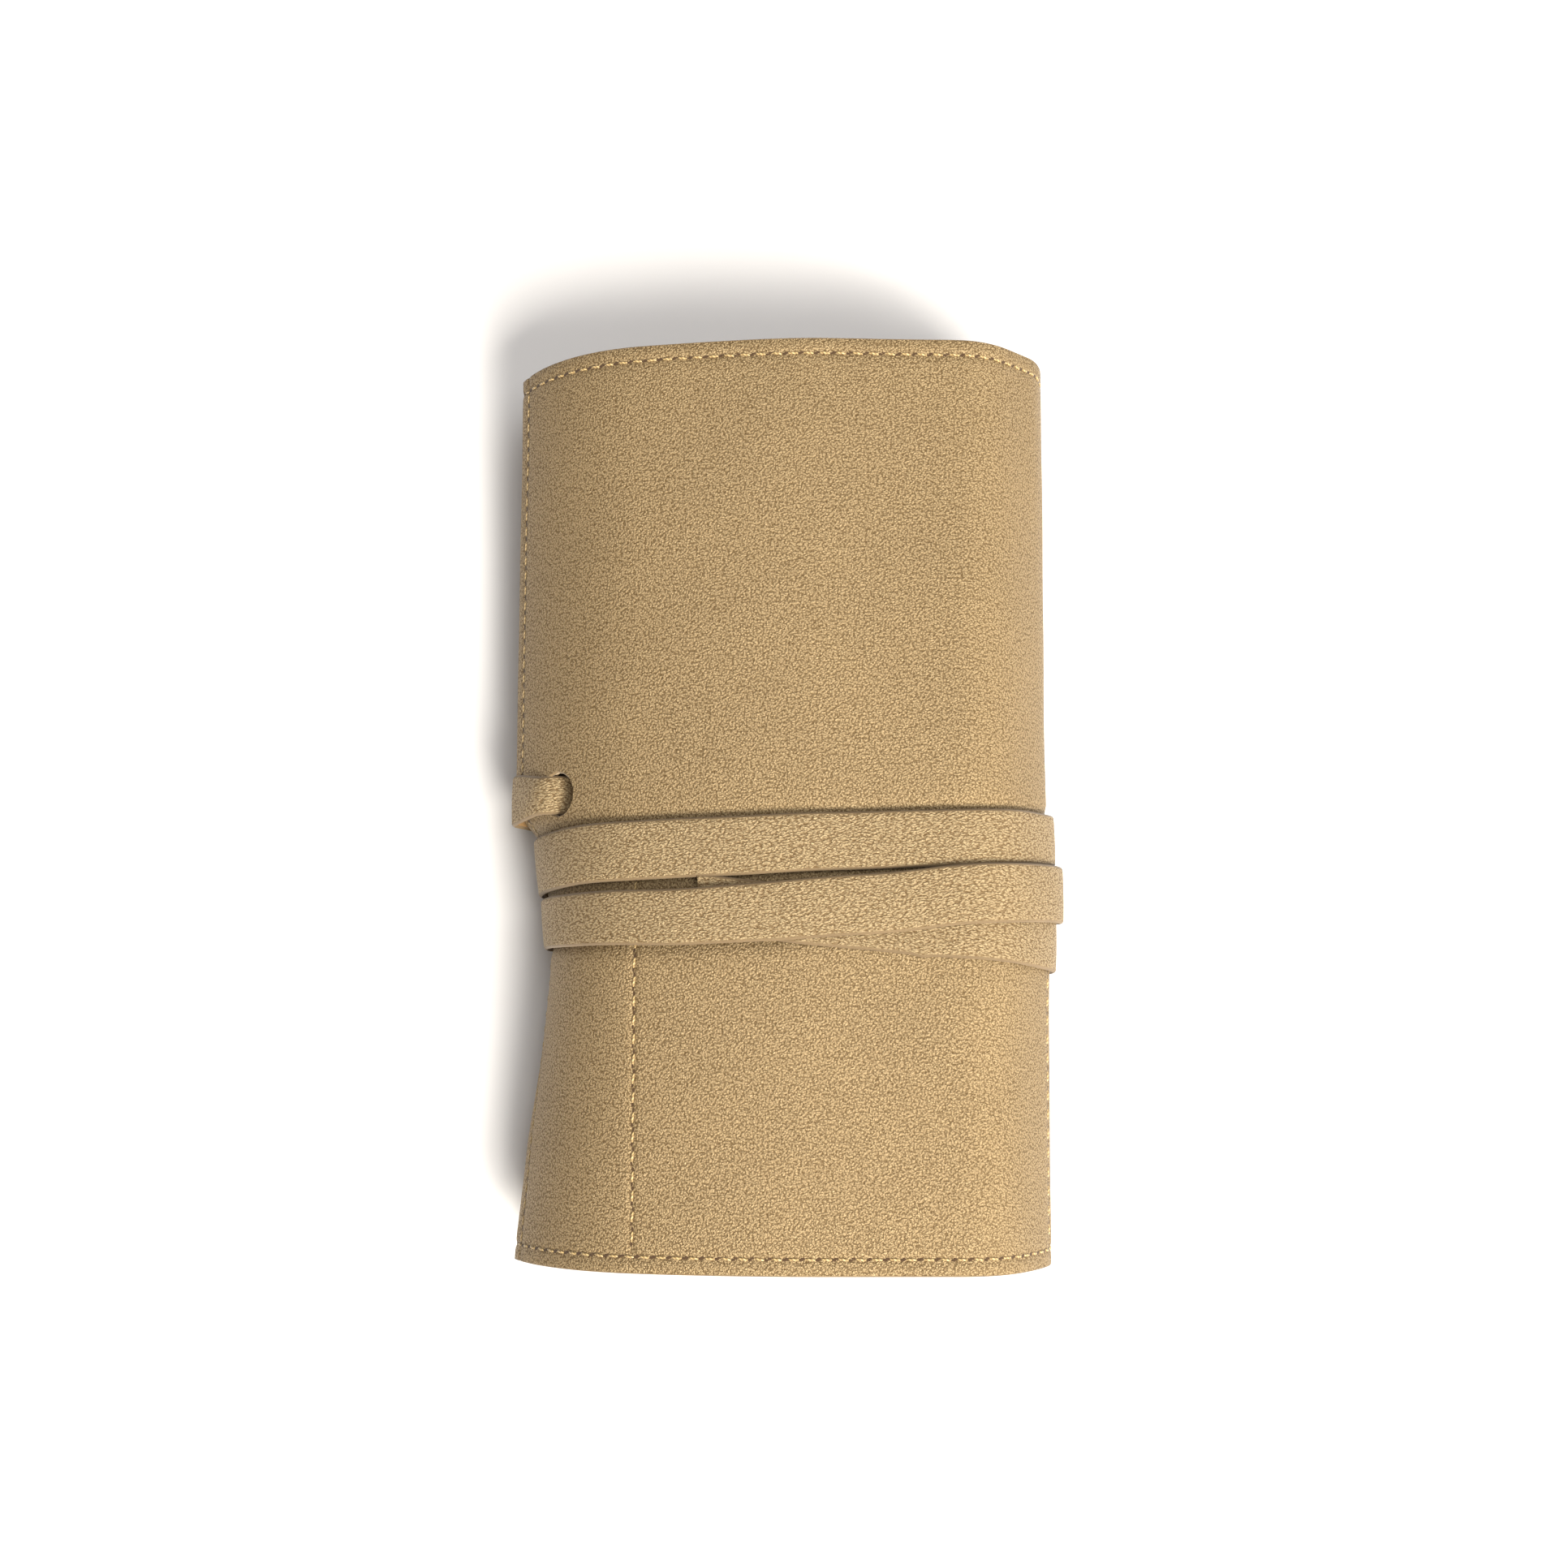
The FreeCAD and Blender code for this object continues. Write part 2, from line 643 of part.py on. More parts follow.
def anchor_stitches():
    """The square of stitches that holds the strap's end under the cover."""
    depth = THICKNESS + 2 * size("hollow_gap") + size("strap_thick")
    hole = size("hole_angle") + 90
    inside = Arc(SHOULDER, "shoulder_radius", hole - size("tack_start"), size("tack_sweep"))
    stitches = []
    for share in (0.0, 0.5, 1.0):
        x, z, angle = inside.at(share, depth)
        stitches += [stitch(x, z, angle + math.pi, size("hole_place") + side * size("tack_side"), False)
                     for side in (-1, 1)]
    keep_stitches("strap_anchor_stitches", stitches)


# ---------------------------------------------------------------- build and write

def build():
    for layer in LAYERS:
        back_sheet(layer)
        for body in PATHS:
            if body != "back":
                rolled_sheet(body, layer)
    for number in range(4):
        brush_pocket(number)
    wide_pocket()
    pocket_corner()
    inner_pockets()
    for body in PATHS:
        hem_rows(body)
    seams()
    tube_seams()
    strap_windings()
    strap_loop()
    anchor_stitches()
    doc.recompute()


def check():
    """Stop before writing anything if an object failed or a shape is not sound."""
    for obj in doc.Objects:
        if "Invalid" in obj.State or "Error" in obj.State:
            raise RuntimeError(f"{obj.Label} did not compute: {obj.State}")
    for obj in PARTS:
        if obj.Shape.isNull() or not obj.Shape.isValid() or not obj.Shape.Solids:
            raise RuntimeError(f"{obj.Label} is not a sound solid")


def write():
    os.makedirs("parts", exist_ok=True)
    for obj in PARTS:
        obj.Shape.exportStep(f"parts/{obj.Label}.step")
        bounds = obj.Shape.BoundBox
        print(f"{obj.Label}: {len(obj.Shape.Solids)} solids, {obj.Shape.Volume:.0f} mm3, "
              f"z {bounds.ZMin:.2f} to {bounds.ZMax:.2f}")


build()
check()
write()
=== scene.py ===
"""Looks of the rolled, strap-tied brush case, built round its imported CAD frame.

Everything is placed on one curve: the outline of the rolled sheet seen along its axis. A point of the case
is given by its girth (the distance along that outline, from the inner panel's edge to the cover's free
edge), its place along the axis and its depth inside the outer leather. Sizes are millimetres until a mesh
is made.
"""

import logging
import math
import random
from dataclasses import dataclass, field
from enum import Enum
from typing import Any, Iterable, Sequence

import bpy
import numpy as np
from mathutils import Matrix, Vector

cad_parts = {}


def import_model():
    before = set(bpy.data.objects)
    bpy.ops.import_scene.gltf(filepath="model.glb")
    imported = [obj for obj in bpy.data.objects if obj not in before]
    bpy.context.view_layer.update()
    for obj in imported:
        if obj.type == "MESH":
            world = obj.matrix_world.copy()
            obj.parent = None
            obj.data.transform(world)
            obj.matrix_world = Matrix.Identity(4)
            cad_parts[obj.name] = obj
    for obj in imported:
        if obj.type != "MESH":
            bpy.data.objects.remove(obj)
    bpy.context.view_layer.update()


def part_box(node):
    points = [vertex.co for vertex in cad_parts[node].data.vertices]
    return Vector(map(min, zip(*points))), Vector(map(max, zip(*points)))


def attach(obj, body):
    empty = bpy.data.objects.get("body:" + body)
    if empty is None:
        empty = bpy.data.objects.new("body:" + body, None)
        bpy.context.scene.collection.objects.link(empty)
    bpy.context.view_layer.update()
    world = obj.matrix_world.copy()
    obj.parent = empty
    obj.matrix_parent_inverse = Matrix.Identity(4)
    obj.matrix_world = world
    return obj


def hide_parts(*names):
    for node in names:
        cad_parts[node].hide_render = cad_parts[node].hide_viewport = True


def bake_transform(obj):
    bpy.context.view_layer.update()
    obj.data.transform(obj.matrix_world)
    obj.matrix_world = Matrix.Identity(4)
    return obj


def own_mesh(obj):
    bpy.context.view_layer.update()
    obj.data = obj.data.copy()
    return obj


LOG = logging.getLogger("brush_roll")
MM = 0.001

Array = np.ndarray


# ---------------------------------------------------------------- colours and nodes

def linear(colour: str) -> tuple[float, float, float, float]:
    """Turn an sRGB hex colour into linear light.

    Args:
        colour: Six hex digits with a leading #.

    Returns:
        Red, green, blue and an alpha of 1.
    """
    parts = [int(colour[i:i + 2], 16) / 255 for i in (1, 3, 5)]
    curve = [p / 12.92 if p <= 0.04045 else ((p + 0.055) / 1.055) ** 2.4 for p in parts]
    return curve[0], curve[1], curve[2], 1.0


def add_node(tree: bpy.types.NodeTree, kind: str, values: dict[Any, Any] | None = None,
             links: dict[Any, bpy.types.NodeSocket] | None = None, **settings: Any) -> bpy.types.Node:
    """Add a node with its settings, socket values and links.

    Args:
        tree: Node tree to add to.
        kind: Blender's node type.
        values: Socket name or number to constant value.
        links: Socket name or number to the output that feeds it.
        settings: Attributes of the node itself.

    Returns:
        The new node.
    """
    node = tree.nodes.new(kind)
    for name, value in settings.items():
        setattr(node, name, value)
    for socket, value in (values or {}).items():
        node.inputs[socket].default_value = value
    for socket, source in (links or {}).items():
        tree.links.new(source, node.inputs[socket])
    return node


def new_material(name: str) -> tuple[bpy.types.Material, bpy.types.NodeTree]:
    """Start a material with an empty node tree.

    Args:
        name: Its name.

    Returns:
        The material and its node tree.
    """
    material = bpy.data.materials.new(name)
    material.use_nodes = True
    material.node_tree.nodes.clear()
    return material, material.node_tree


def close_material(tree: bpy.types.NodeTree, shader: bpy.types.Node) -> None:
    """Send a shader to the material output."""
    add_node(tree, "ShaderNodeOutputMaterial", links={"Surface": shader.outputs[0]})


# ---------------------------------------------------------------- finishes

@dataclass(frozen=True)
class FoilLeather:
    """Gold foil leather: polyurethane-coated split with a pearl-gold foil and an embossed pebble grain.

    The foil makes it half metallic, so it brightens towards the light without a sharp highlight. The
    embossing gives small rounded pebbles as a bump; their colour has painted shade darkening the creases and
    lighter pebble tops, and the foil's flakes are painted as fine lighter glints on their tops, a painted
    highlight.
    """

    name: str
    pebble: float = 0.55          # width of one embossed pebble, mm
    fine: float = 0.3             # small pebbles between them
    stretch: tuple[float, float] = (1.0, 1.0)
    turn: float = 0.0             # degrees, direction of the grain
    relief: float = 0.2           # depth of the embossing, mm
    top: str = "#AB946D"
    # crease colour: painted shade, the grain's creases darkened
    crease: str = "#5E4826"
    # fleck colour: painted glints, fine lighter flecks standing in for highlights
    glint_highlight: str = "#E6D4AA"
    roughness: float = 0.5
    metallic: float = 0.45

    def make(self) -> bpy.types.Material:
        """Build the material on the sheet's own flat coordinates, in millimetres.

        Returns:
            The material.
        """
        material, tree = new_material(self.name)
        flat = add_node(tree, "ShaderNodeUVMap", uv_map="flat")
        laid = add_node(tree, "ShaderNodeMapping",
                        {"Rotation": (0, 0, math.radians(self.turn)), "Scale": (*self.stretch, 1.0)},
                        {"Vector": flat.outputs[0]})
        drift = add_node(tree, "ShaderNodeTexNoise", {"Scale": 1.5, "Detail": 3.0},
                         {"Vector": laid.outputs[0]})
        shift = add_node(tree, "ShaderNodeVectorMath", {1: (0.5, 0.5, 0.5)}, {0: drift.outputs["Color"]},
                         operation="SUBTRACT")
        pull = add_node(tree, "ShaderNodeVectorMath", {"Scale": 0.9}, {0: shift.outputs[0]},
                        operation="SCALE")
        warped = add_node(tree, "ShaderNodeVectorMath", links={0: laid.outputs[0], 1: pull.outputs[0]})
        big = add_node(tree, "ShaderNodeTexVoronoi", {"Scale": 1 / self.pebble, "Smoothness": 0.25},
                       {"Vector": warped.outputs[0]}, feature="SMOOTH_F1", voronoi_dimensions="2D")
        small = add_node(tree, "ShaderNodeTexVoronoi", {"Scale": 1 / self.fine},
                         {"Vector": warped.outputs[0]}, feature="F1", voronoi_dimensions="2D")
        flakes = add_node(tree, "ShaderNodeTexNoise", {"Scale": 3.6, "Detail": 5.0, "Roughness": 0.7},
                          {"Vector": laid.outputs[0]})
        pebbles = add_node(tree, "ShaderNodeMapRange", {"From Min": 0.62, "From Max": 0.1, "To Max": 0.6},
                           {"Value": big.outputs["Distance"]})
        grit = add_node(tree, "ShaderNodeMath", {1: -0.35},
                        {0: small.outputs["Distance"], 2: pebbles.outputs[0]}, operation="MULTIPLY_ADD")
        height = add_node(tree, "ShaderNodeMath", {1: 0.7}, {0: flakes.outputs[0], 2: grit.outputs[0]},
                          operation="MULTIPLY_ADD")
        # grain height mixes the crease and top colours: painted shade in the creases, lighter pebble tops
        shade = add_node(tree, "ShaderNodeMapRange", {"From Min": 0.1, "From Max": 0.85},
                         {"Value": height.outputs[0]})
        crease_shaded_tone = add_node(tree, "ShaderNodeMix", {6: linear(self.crease), 7: linear(self.top)},
                        {0: shade.outputs[0]}, data_type="RGBA")
        # flake noise lightens small flecks towards the fleck colour: painted glints, a painted highlight
        glint_mask = add_node(tree, "ShaderNodeMapRange", {"From Min": 0.56, "From Max": 0.72, "To Max": 0.75},
                          {"Value": flakes.outputs[0]})
        with_painted_glints = add_node(tree, "ShaderNodeMix", {7: linear(self.glint_highlight)},
                           {0: glint_mask.outputs[0], 6: crease_shaded_tone.outputs[2]}, data_type="RGBA")
        cloud = add_node(tree, "ShaderNodeTexNoise", {"Scale": 0.045, "Detail": 3.0},
                         {"Vector": laid.outputs[0]})
        wash = add_node(tree, "ShaderNodeMapRange", {"To Min": 0.93, "To Max": 1.07},
                        {"Value": cloud.outputs[0]})
        colour = add_node(tree, "ShaderNodeVectorMath",
                          links={0: with_painted_glints.outputs[2], "Scale": wash.outputs[0]}, operation="SCALE")
        gloss = add_node(tree, "ShaderNodeMapRange",
                         {"To Min": self.roughness + 0.12, "To Max": self.roughness - 0.08},
                         {"Value": shade.outputs[0]})
        bump = add_node(tree, "ShaderNodeBump", {"Strength": 1.0, "Distance": self.relief * MM},
                        {"Height": height.outputs[0]})
        shader = add_node(tree, "ShaderNodeBsdfPrincipled", {"Metallic": self.metallic},
                          {"Base Color": colour.outputs[0], "Roughness": gloss.outputs[0],
                           "Normal": bump.outputs[0]})
        close_material(tree, shader)
        return material


@dataclass(frozen=True)
class Fibre:
    """A fibrous finish: a knife-cut leather edge, suede-like microfibre or pressed felt; also the dark
    painted shade of the needle holes.

    Short fibres scatter the light, so there is no highlight, only a soft bloom at glancing angles.
    """

    name: str
    light: str
    dark: str
    fibre: float                  # spacing of the fibres, mm
    stretch: tuple[float, float, float] = (1.0, 1.0, 1.0)
    relief: float = 0.08          # how far the fibres stand, mm
    roughness: float = 0.9
    sheen: float = 0.15

    def make(self) -> bpy.types.Material:
        """Build the material on the piece's own flat coordinates, in millimetres.

        Returns:
            The material.
        """
        material, tree = new_material(self.name)
        flat = add_node(tree, "ShaderNodeUVMap", uv_map="flat")
        laid = add_node(tree, "ShaderNodeMapping", {"Scale": self.stretch}, {"Vector": flat.outputs[0]})
        fibres = add_node(tree, "ShaderNodeTexNoise",
                          {"Scale": 1 / self.fibre, "Detail": 5.0, "Roughness": 0.65},
                          {"Vector": laid.outputs[0]})
        nap = add_node(tree, "ShaderNodeTexNoise", {"Scale": 0.09, "Detail": 2.0},
                       {"Vector": flat.outputs[0]})
        both = add_node(tree, "ShaderNodeMath", {1: 0.5}, {0: nap.outputs[0], 2: fibres.outputs[0]},
                        operation="MULTIPLY_ADD")
        share = add_node(tree, "ShaderNodeMapRange", {"From Min": 0.5, "From Max": 1.0},
                         {"Value": both.outputs[0]})
        colour = add_node(tree, "ShaderNodeMix", {6: linear(self.dark), 7: linear(self.light)},
                          {0: share.outputs[0]}, data_type="RGBA")
        bump = add_node(tree, "ShaderNodeBump", {"Distance": self.relief * MM}, {"Height": fibres.outputs[0]})
        shader = add_node(tree, "ShaderNodeBsdfPrincipled",
                          {"Roughness": self.roughness, "Sheen Weight": self.sheen, "Sheen Roughness": 0.5},
                          {"Base Color": colour.outputs[2], "Normal": bump.outputs[0]})
        close_material(tree, shader)
        return material


@dataclass(frozen=True)
class CottonTwill:
    """Brushed cotton twill: woven with a diagonal rib, then brushed, so matt with a soft raised line."""

    name: str
    light: str = "#CDB48A"
    dark: str = "#A98C5F"
    rib: float = 0.9              # one diagonal rib, mm; the real one is about 0.6, too fine to show

    def make(self) -> bpy.types.Material:
        """Build the material on the pocket's flat coordinates, in millimetres.

        Returns:
            The material.
        """
        material, tree = new_material(self.name)
        flat = add_node(tree, "ShaderNodeUVMap", uv_map="flat")
        ribs = add_node(tree, "ShaderNodeTexWave",
                        {"Scale": 0.314 / self.rib, "Distortion": 0.8, "Detail": 2.0, "Detail Scale": 3.0},
                        {"Vector": flat.outputs[0]}, bands_direction="DIAGONAL")
        fuzz = add_node(tree, "ShaderNodeTexNoise", {"Scale": 2.8, "Detail": 4.0},
                        {"Vector": flat.outputs[0]})
        height = add_node(tree, "ShaderNodeMath", {1: 0.6}, {0: fuzz.outputs[0], 2: ribs.outputs["Fac"]},
                          operation="MULTIPLY_ADD")
        share = add_node(tree, "ShaderNodeMapRange", {"From Min": 0.1, "From Max": 1.4},
                         {"Value": height.outputs[0]})
        colour = add_node(tree, "ShaderNodeMix", {6: linear(self.dark), 7: linear(self.light)},
                          {0: share.outputs[0]}, data_type="RGBA")
        bump = add_node(tree, "ShaderNodeBump", {"Distance": 0.12 * MM}, {"Height": height.outputs[0]})
        shader = add_node(tree, "ShaderNodeBsdfPrincipled", {"Roughness": 0.88, "Sheen Weight": 0.2},
                          {"Base Color": colour.outputs[2], "Normal": bump.outputs[0]})
        close_material(tree, shader)
        return material


@dataclass(frozen=True)
class TwistedThread:
    """Bonded polyester thread: three plies twisted together, so slanted ridges with a silky shine."""

    name: str
    light: str = "#C3AA79"
    dark: str = "#8A7044"
    ply: float = 0.5              # one slanted ply, mm; the real one is about 0.3, too fine to show

    def make(self) -> bpy.types.Material:
        """Build the material on each stitch's own coordinates, in millimetres along and round the thread.

        Returns:
            The material.
        """
        material, tree = new_material(self.name)
        flat = add_node(tree, "ShaderNodeUVMap", uv_map="flat")
        plies = add_node(tree, "ShaderNodeTexWave", {"Scale": 0.314 / self.ply, "Distortion": 0.4},
                         {"Vector": flat.outputs[0]}, bands_direction="DIAGONAL")
        colour = add_node(tree, "ShaderNodeMix", {6: linear(self.dark), 7: linear(self.light)},
                          {0: plies.outputs["Fac"]}, data_type="RGBA")
        bump = add_node(tree, "ShaderNodeBump", {"Distance": 0.06 * MM}, {"Height": plies.outputs["Fac"]})
        shader = add_node(tree, "ShaderNodeBsdfPrincipled", {"Roughness": 0.42, "Sheen Weight": 0.1},
                          {"Base Color": colour.outputs[2], "Normal": bump.outputs[0]})
        close_material(tree, shader)
        return material


@dataclass(frozen=True)
class Wardrobe:
    """Every finish of the case, made once."""

    leather: bpy.types.Material
    strap_leather: bpy.types.Material
    strap_back: bpy.types.Material
    cut_edge: bpy.types.Material
    suede: bpy.types.Material
    felt: bpy.types.Material
    twill: bpy.types.Material
    thread: bpy.types.Material
    needle_hole: bpy.types.Material

    @classmethod
    def make(cls) -> "Wardrobe":
        """Mix all the finishes.

        Returns:
            The material.
        """
        return cls(
            leather=FoilLeather("gold_foil_leather").make(),
            # the strap's crease colour is painted shade in its grain's creases, and its flecks are painted
            # glints too
            strap_leather=FoilLeather("gold_foil_leather_strap", top="#B49F79", crease="#654D2B", pebble=0.6,
                                      fine=0.33, stretch=(0.7, 1.25), turn=24.0, relief=0.26).make(),
            strap_back=Fibre("split_leather_back", "#B08E5E", "#86653C", 0.35, relief=0.1).make(),
            cut_edge=Fibre("knife_cut_leather_edge", "#7F6A49", "#5C4A30", 0.3, (0.25, 1.0, 1.0), 0.05,
                           0.75).make(),
            suede=Fibre("tan_microfibre_suede", "#A98B5F", "#7D6340", 0.28, relief=0.06, sheen=0.35).make(),
            felt=Fibre("pale_pressed_felt", "#E3D7BE", "#BFAE8C", 0.5, relief=0.12).make(),
            twill=CottonTwill("brushed_cotton_twill").make(),
            thread=TwistedThread("gold_bonded_thread").make(),
            # needle holes: flat dark discs of painted shade, standing in for the shaded recess of each hole
            needle_hole=Fibre("needle_hole_in_leather", "#4E3619", "#33220E", 0.3, relief=0.03).make(),
        )


# ---------------------------------------------------------------- mesh helpers

def smoothstep(low: float, high: float, value: Array) -> Array:
    """0 below low, 1 above high, and a smooth ramp between."""
    share = np.clip((value - low) / (high - low), 0.0, 1.0)
    return share * share * (3 - 2 * share)


def soft_table(table: Sequence[tuple[float, float]], value: Array, blur: float) -> Array:
    """Read a table of (place, amount), with its corners rounded.

    Args:
        table: Pairs in rising order of place.
        value: Places to read at.
        blur: Half width of the rounding, in the unit of the places.

    Returns:
        Amounts, the shape of value.
    """
    places, amounts = zip(*table)
    steps = np.linspace(-blur, blur, 7)
    return sum(np.interp(value + step, places, amounts) for step in steps) / len(steps)


def soften(points: Array, times: int) -> Array:
    """Average each inner point of a line with its neighbours.

    Args:
        points: One row for each point; it is changed in place.
        times: How often to do it.

    Returns:
        The same points.
    """
    for _ in range(times):
        points[1:-1] = (points[:-2] + points[1:-1] * 2 + points[2:]) / 4
    return points


def run_along(points: Array) -> Array:
    """Distance along a line of points, 0 at its start."""
    return np.concatenate([[0.0], np.cumsum(np.linalg.norm(np.diff(points, axis=0), axis=1))])


def off_line(line: Array, times: int) -> Array:
    """Unit vectors that point away from the case, square to a line that runs round it.

    Args:
        line: X and Z of each point, running from the right-hand side over the top.
        times: How often the direction is averaged.

    Returns:
        X, Y and Z of each vector.
    """
    tangent = soften(np.gradient(line, axis=0), times)
    tangent /= np.linalg.norm(tangent, axis=1)[:, None]
    return np.stack([tangent[:, 1], np.zeros(len(line)), -tangent[:, 0]], axis=-1)


def mesh_piece(name: str, points: Array, faces: Sequence[Sequence[int]], flat: Array,
               materials: Sequence[bpy.types.Material], kinds: Sequence[int] | None = None,
               crease: float = 40.0) -> bpy.types.Object:
    """Make one mesh object with flat coordinates for its finish.

    Args:
        name: Piece name.
        points: Corner points in millimetres.
        faces: Corner numbers of each face.
        flat: Two flat coordinates in millimetres for each point.
        materials: Material slots.
        kinds: Slot number of each face.
        crease: Edges sharper than this many degrees are shaded sharp.

    Returns:
        The linked object.
    """
    mesh = bpy.data.meshes.new(name)
    mesh.from_pydata((np.asarray(points) * MM).tolist(), [], [tuple(int(n) for n in f) for f in faces])
    layer = mesh.uv_layers.new(name="flat")
    corners = np.empty(len(mesh.loops), dtype=np.int64)
    mesh.loops.foreach_get("vertex_index", corners)
    layer.data.foreach_set("uv", np.asarray(flat, dtype=np.float32)[corners].ravel())
    for material in materials:
        mesh.materials.append(material)
    if kinds is not None:
        mesh.polygons.foreach_set("material_index", np.asarray(kinds, dtype=np.int32))
    mesh.polygons.foreach_set("use_smooth", np.ones(len(mesh.polygons), dtype=bool))
    mesh.set_sharp_from_angle(angle=math.radians(crease))
    mesh.update()
    piece = bpy.data.objects.new(name, mesh)
    bpy.context.scene.collection.objects.link(piece)
    return piece


# ---------------------------------------------------------------- the outline

@dataclass(frozen=True)
class CaseOutline:
    """Outline of the rolled case seen along its axis, and how it changes from end to end."""

    half_length: float
    fold_radius: float
    inner_fold_radius: float
    back_right: float
    back_left: float
    inner_edge: float             # X of the inner panel's edge
    leather: float = 1.0
    padding: float = 0.6
    lining: float = 0.7
    crown_start: float = 9.2
    crown_radius: float = 170.0
    crown_angle: float = 15.0
    shoulder_length: float = 42.08
    shoulder_angle: float = 47.0
    hole_girth: float = 19.4      # strap hole, back from the free edge
    hole_place: float = 1.2
    hole_radius: float = 5.3
    flare: float = 0.0168         # how much wider the roll is at its far end, per half length
    strap_bulge: float = 0.7      # the right fold bellies out this much beside the strap
    waist_rise: float = 2.2
    shoulder_slack: float = 2.2   # the right fold's upper half is about this much flatter than round
    crest: float = 1.3            # the top arches up this much more at the far end
    curl: float = 4.2             # the far corner of the free edge curls up this much
    shoulder_rise: float = 2.6    # the right fold's far end stands this much squarer
    hem_inset: float = 3.8
    edge_inset: float = 3.8
    pocket_low: float = -104.0
    pocket_mouth: float = -10.0
    side_seam_angle: float = 12.0
    # how far the strap draws the free edge in: place and amount
    pinch: tuple[tuple[float, float], ...] = (
        (-110.0, 0.9), (-105.0, 1.2), (-82.0, 3.4), (-63.0, 6.2), (-47.0, 8.1), (-41.0, 8.9),
        (-36.0, 8.8), (-25.5, 8.5), (-21.5, 6.7), (-9.5, 6.0), (-6.5, 4.4), (-3.0, 1.4), (2.0, 0.2),
        (6.0, 0.0))
    # where the middle of the strap crosses the top on its first and second turn: X and place
    first_pass: tuple[tuple[float, float], ...] = (
        (-61.0, -15.4), (-48.0, -14.2), (-20.0, -13.4), (6.7, -12.5), (40.0, -11.4), (63.3, -10.0))
    second_pass: tuple[tuple[float, float], ...] = (
        (-58.0, -29.25), (-31.0, -29.6), (-19.6, -29.5), (-1.0, -28.5), (25.0, -26.5), (44.0, -24.4),
        (66.0, -22.7))

    @classmethod
    def from_frame(cls) -> "CaseOutline":
        """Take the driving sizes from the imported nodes.

        Returns:
            The outline.
        """
        cover_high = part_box("cover_shell")[1]
        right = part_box("right_lower_shell")[1][0] / MM
        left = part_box("left_lower_shell")[0][0] / MM
        inner_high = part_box("inner_panel_shell")[1]
        fold = cover_high[2] / MM / 2
        inner = inner_high[2] / MM / 2
        return cls(half_length=cover_high[1] / MM, fold_radius=fold, inner_fold_radius=inner,
                   back_right=right - fold, back_left=-left - inner, inner_edge=inner_high[0] / MM)

    @property
    def thickness(self) -> float:
        """Leather, padding and lining together."""
        return self.leather + self.padding + self.lining

    @property
    def marks(self) -> tuple[float, ...]:
        """Girth at the start, and where panel, left fold, back, right fold, top, crown and shoulder end."""
        lengths = (self.inner_edge + self.back_left, math.pi * self.inner_fold_radius,
                   self.back_left + self.back_right, math.pi * self.fold_radius,
                   self.back_right - self.crown_start, math.radians(self.crown_angle) * self.crown_radius,
                   self.shoulder_length)
        return tuple(float(mark) for mark in np.cumsum((0.0, *lengths)))

    def left_fold(self, degrees: float) -> float:
        """Girth at an angle of the left fold, 90 at its top and 270 at its bottom."""
        return self.marks[1] + math.radians(degrees - 90) * self.inner_fold_radius

    def right_fold(self, degrees: float) -> float:
        """Girth at an angle of the right fold, -90 at its bottom and 90 at its top."""
        return self.marks[3] + math.radians(degrees + 90) * self.fold_radius

    def pinch_at(self, place: Array) -> Array:
        """How far the strap draws the free edge in at each place along the axis."""
        return soft_table(self.pinch, place, 1.4)

    def rise_at(self, place: Array) -> Array:
        """How far the back is drawn up over the strap."""
        return self.waist_rise * smoothstep(-50.5, -45.0, place) * (1 - smoothstep(12.0, 17.5, place))

    def bare(self, girth: Array, place: Array) -> tuple[Array, Array, Array]:
        """Outer surface without its fine relief.

        Args:
            girth: Distance along the outline from the inner panel's edge.
            place: Distance along the axis.

        Returns:
            X, Z and the outward angle in radians, each the shape of girth.
        """
        girth, place = np.broadcast_arrays(np.asarray(girth, float), np.asarray(place, float))
        m = self.marks
        pinch = self.pinch_at(place)
        bend = np.radians(self.shoulder_angle + pinch * (3.8 - 0.045 * pinch))
        shoulder = self.shoulder_length / bend
        quarter = math.pi / 2
        crown_end = 5 * quarter + math.radians(self.crown_angle)
        angle = np.select(
            [girth < m[1], girth < m[2], girth < m[3], girth < m[4], girth < m[5], girth < m[6]],
            [np.full_like(girth, quarter), quarter + (girth - m[1]) / self.inner_fold_radius,
             np.full_like(girth, 3 * quarter), 3 * quarter + (girth - m[3]) / self.fold_radius,
             np.full_like(girth, 5 * quarter), 5 * quarter + (girth - m[5]) / self.crown_radius],
            crown_end + (girth - m[6]) / shoulder)
        end_x = self.crown_start + self.crown_radius * math.cos(crown_end)
        end_z = 2 * self.fold_radius - self.crown_radius + self.crown_radius * math.sin(crown_end)
        x = np.select(
            [girth < m[1], girth < m[2], girth < m[3], girth < m[4], girth < m[5], girth < m[6]],
            [self.inner_edge - girth, -self.back_left + self.inner_fold_radius * np.cos(angle),
             girth - m[2] - self.back_left, self.back_right + self.fold_radius * np.cos(angle),
             self.back_right - (girth - m[4]), self.crown_start + self.crown_radius * np.cos(angle)],
            end_x + shoulder * (np.cos(angle) - math.cos(crown_end)))
        z = np.select(
            [girth < m[1], girth < m[2], girth < m[3], girth < m[4], girth < m[5], girth < m[6]],
            [np.full_like(girth, 2 * self.inner_fold_radius),
             self.inner_fold_radius * (1 + np.sin(angle)), np.zeros_like(girth),
             self.fold_radius * (1 + np.sin(angle)), np.full_like(girth, 2 * self.fold_radius),
             2 * self.fold_radius - self.crown_radius * (1 - np.sin(angle))],
            end_z + shoulder * (np.sin(angle) - math.sin(crown_end)))
        tucked = np.maximum(0.0, pinch - 4.2)
        hold = np.where(girth < m[2], 1.0, np.clip((20.0 - x) / (20.0 + self.back_left), 0.0, 1.0))
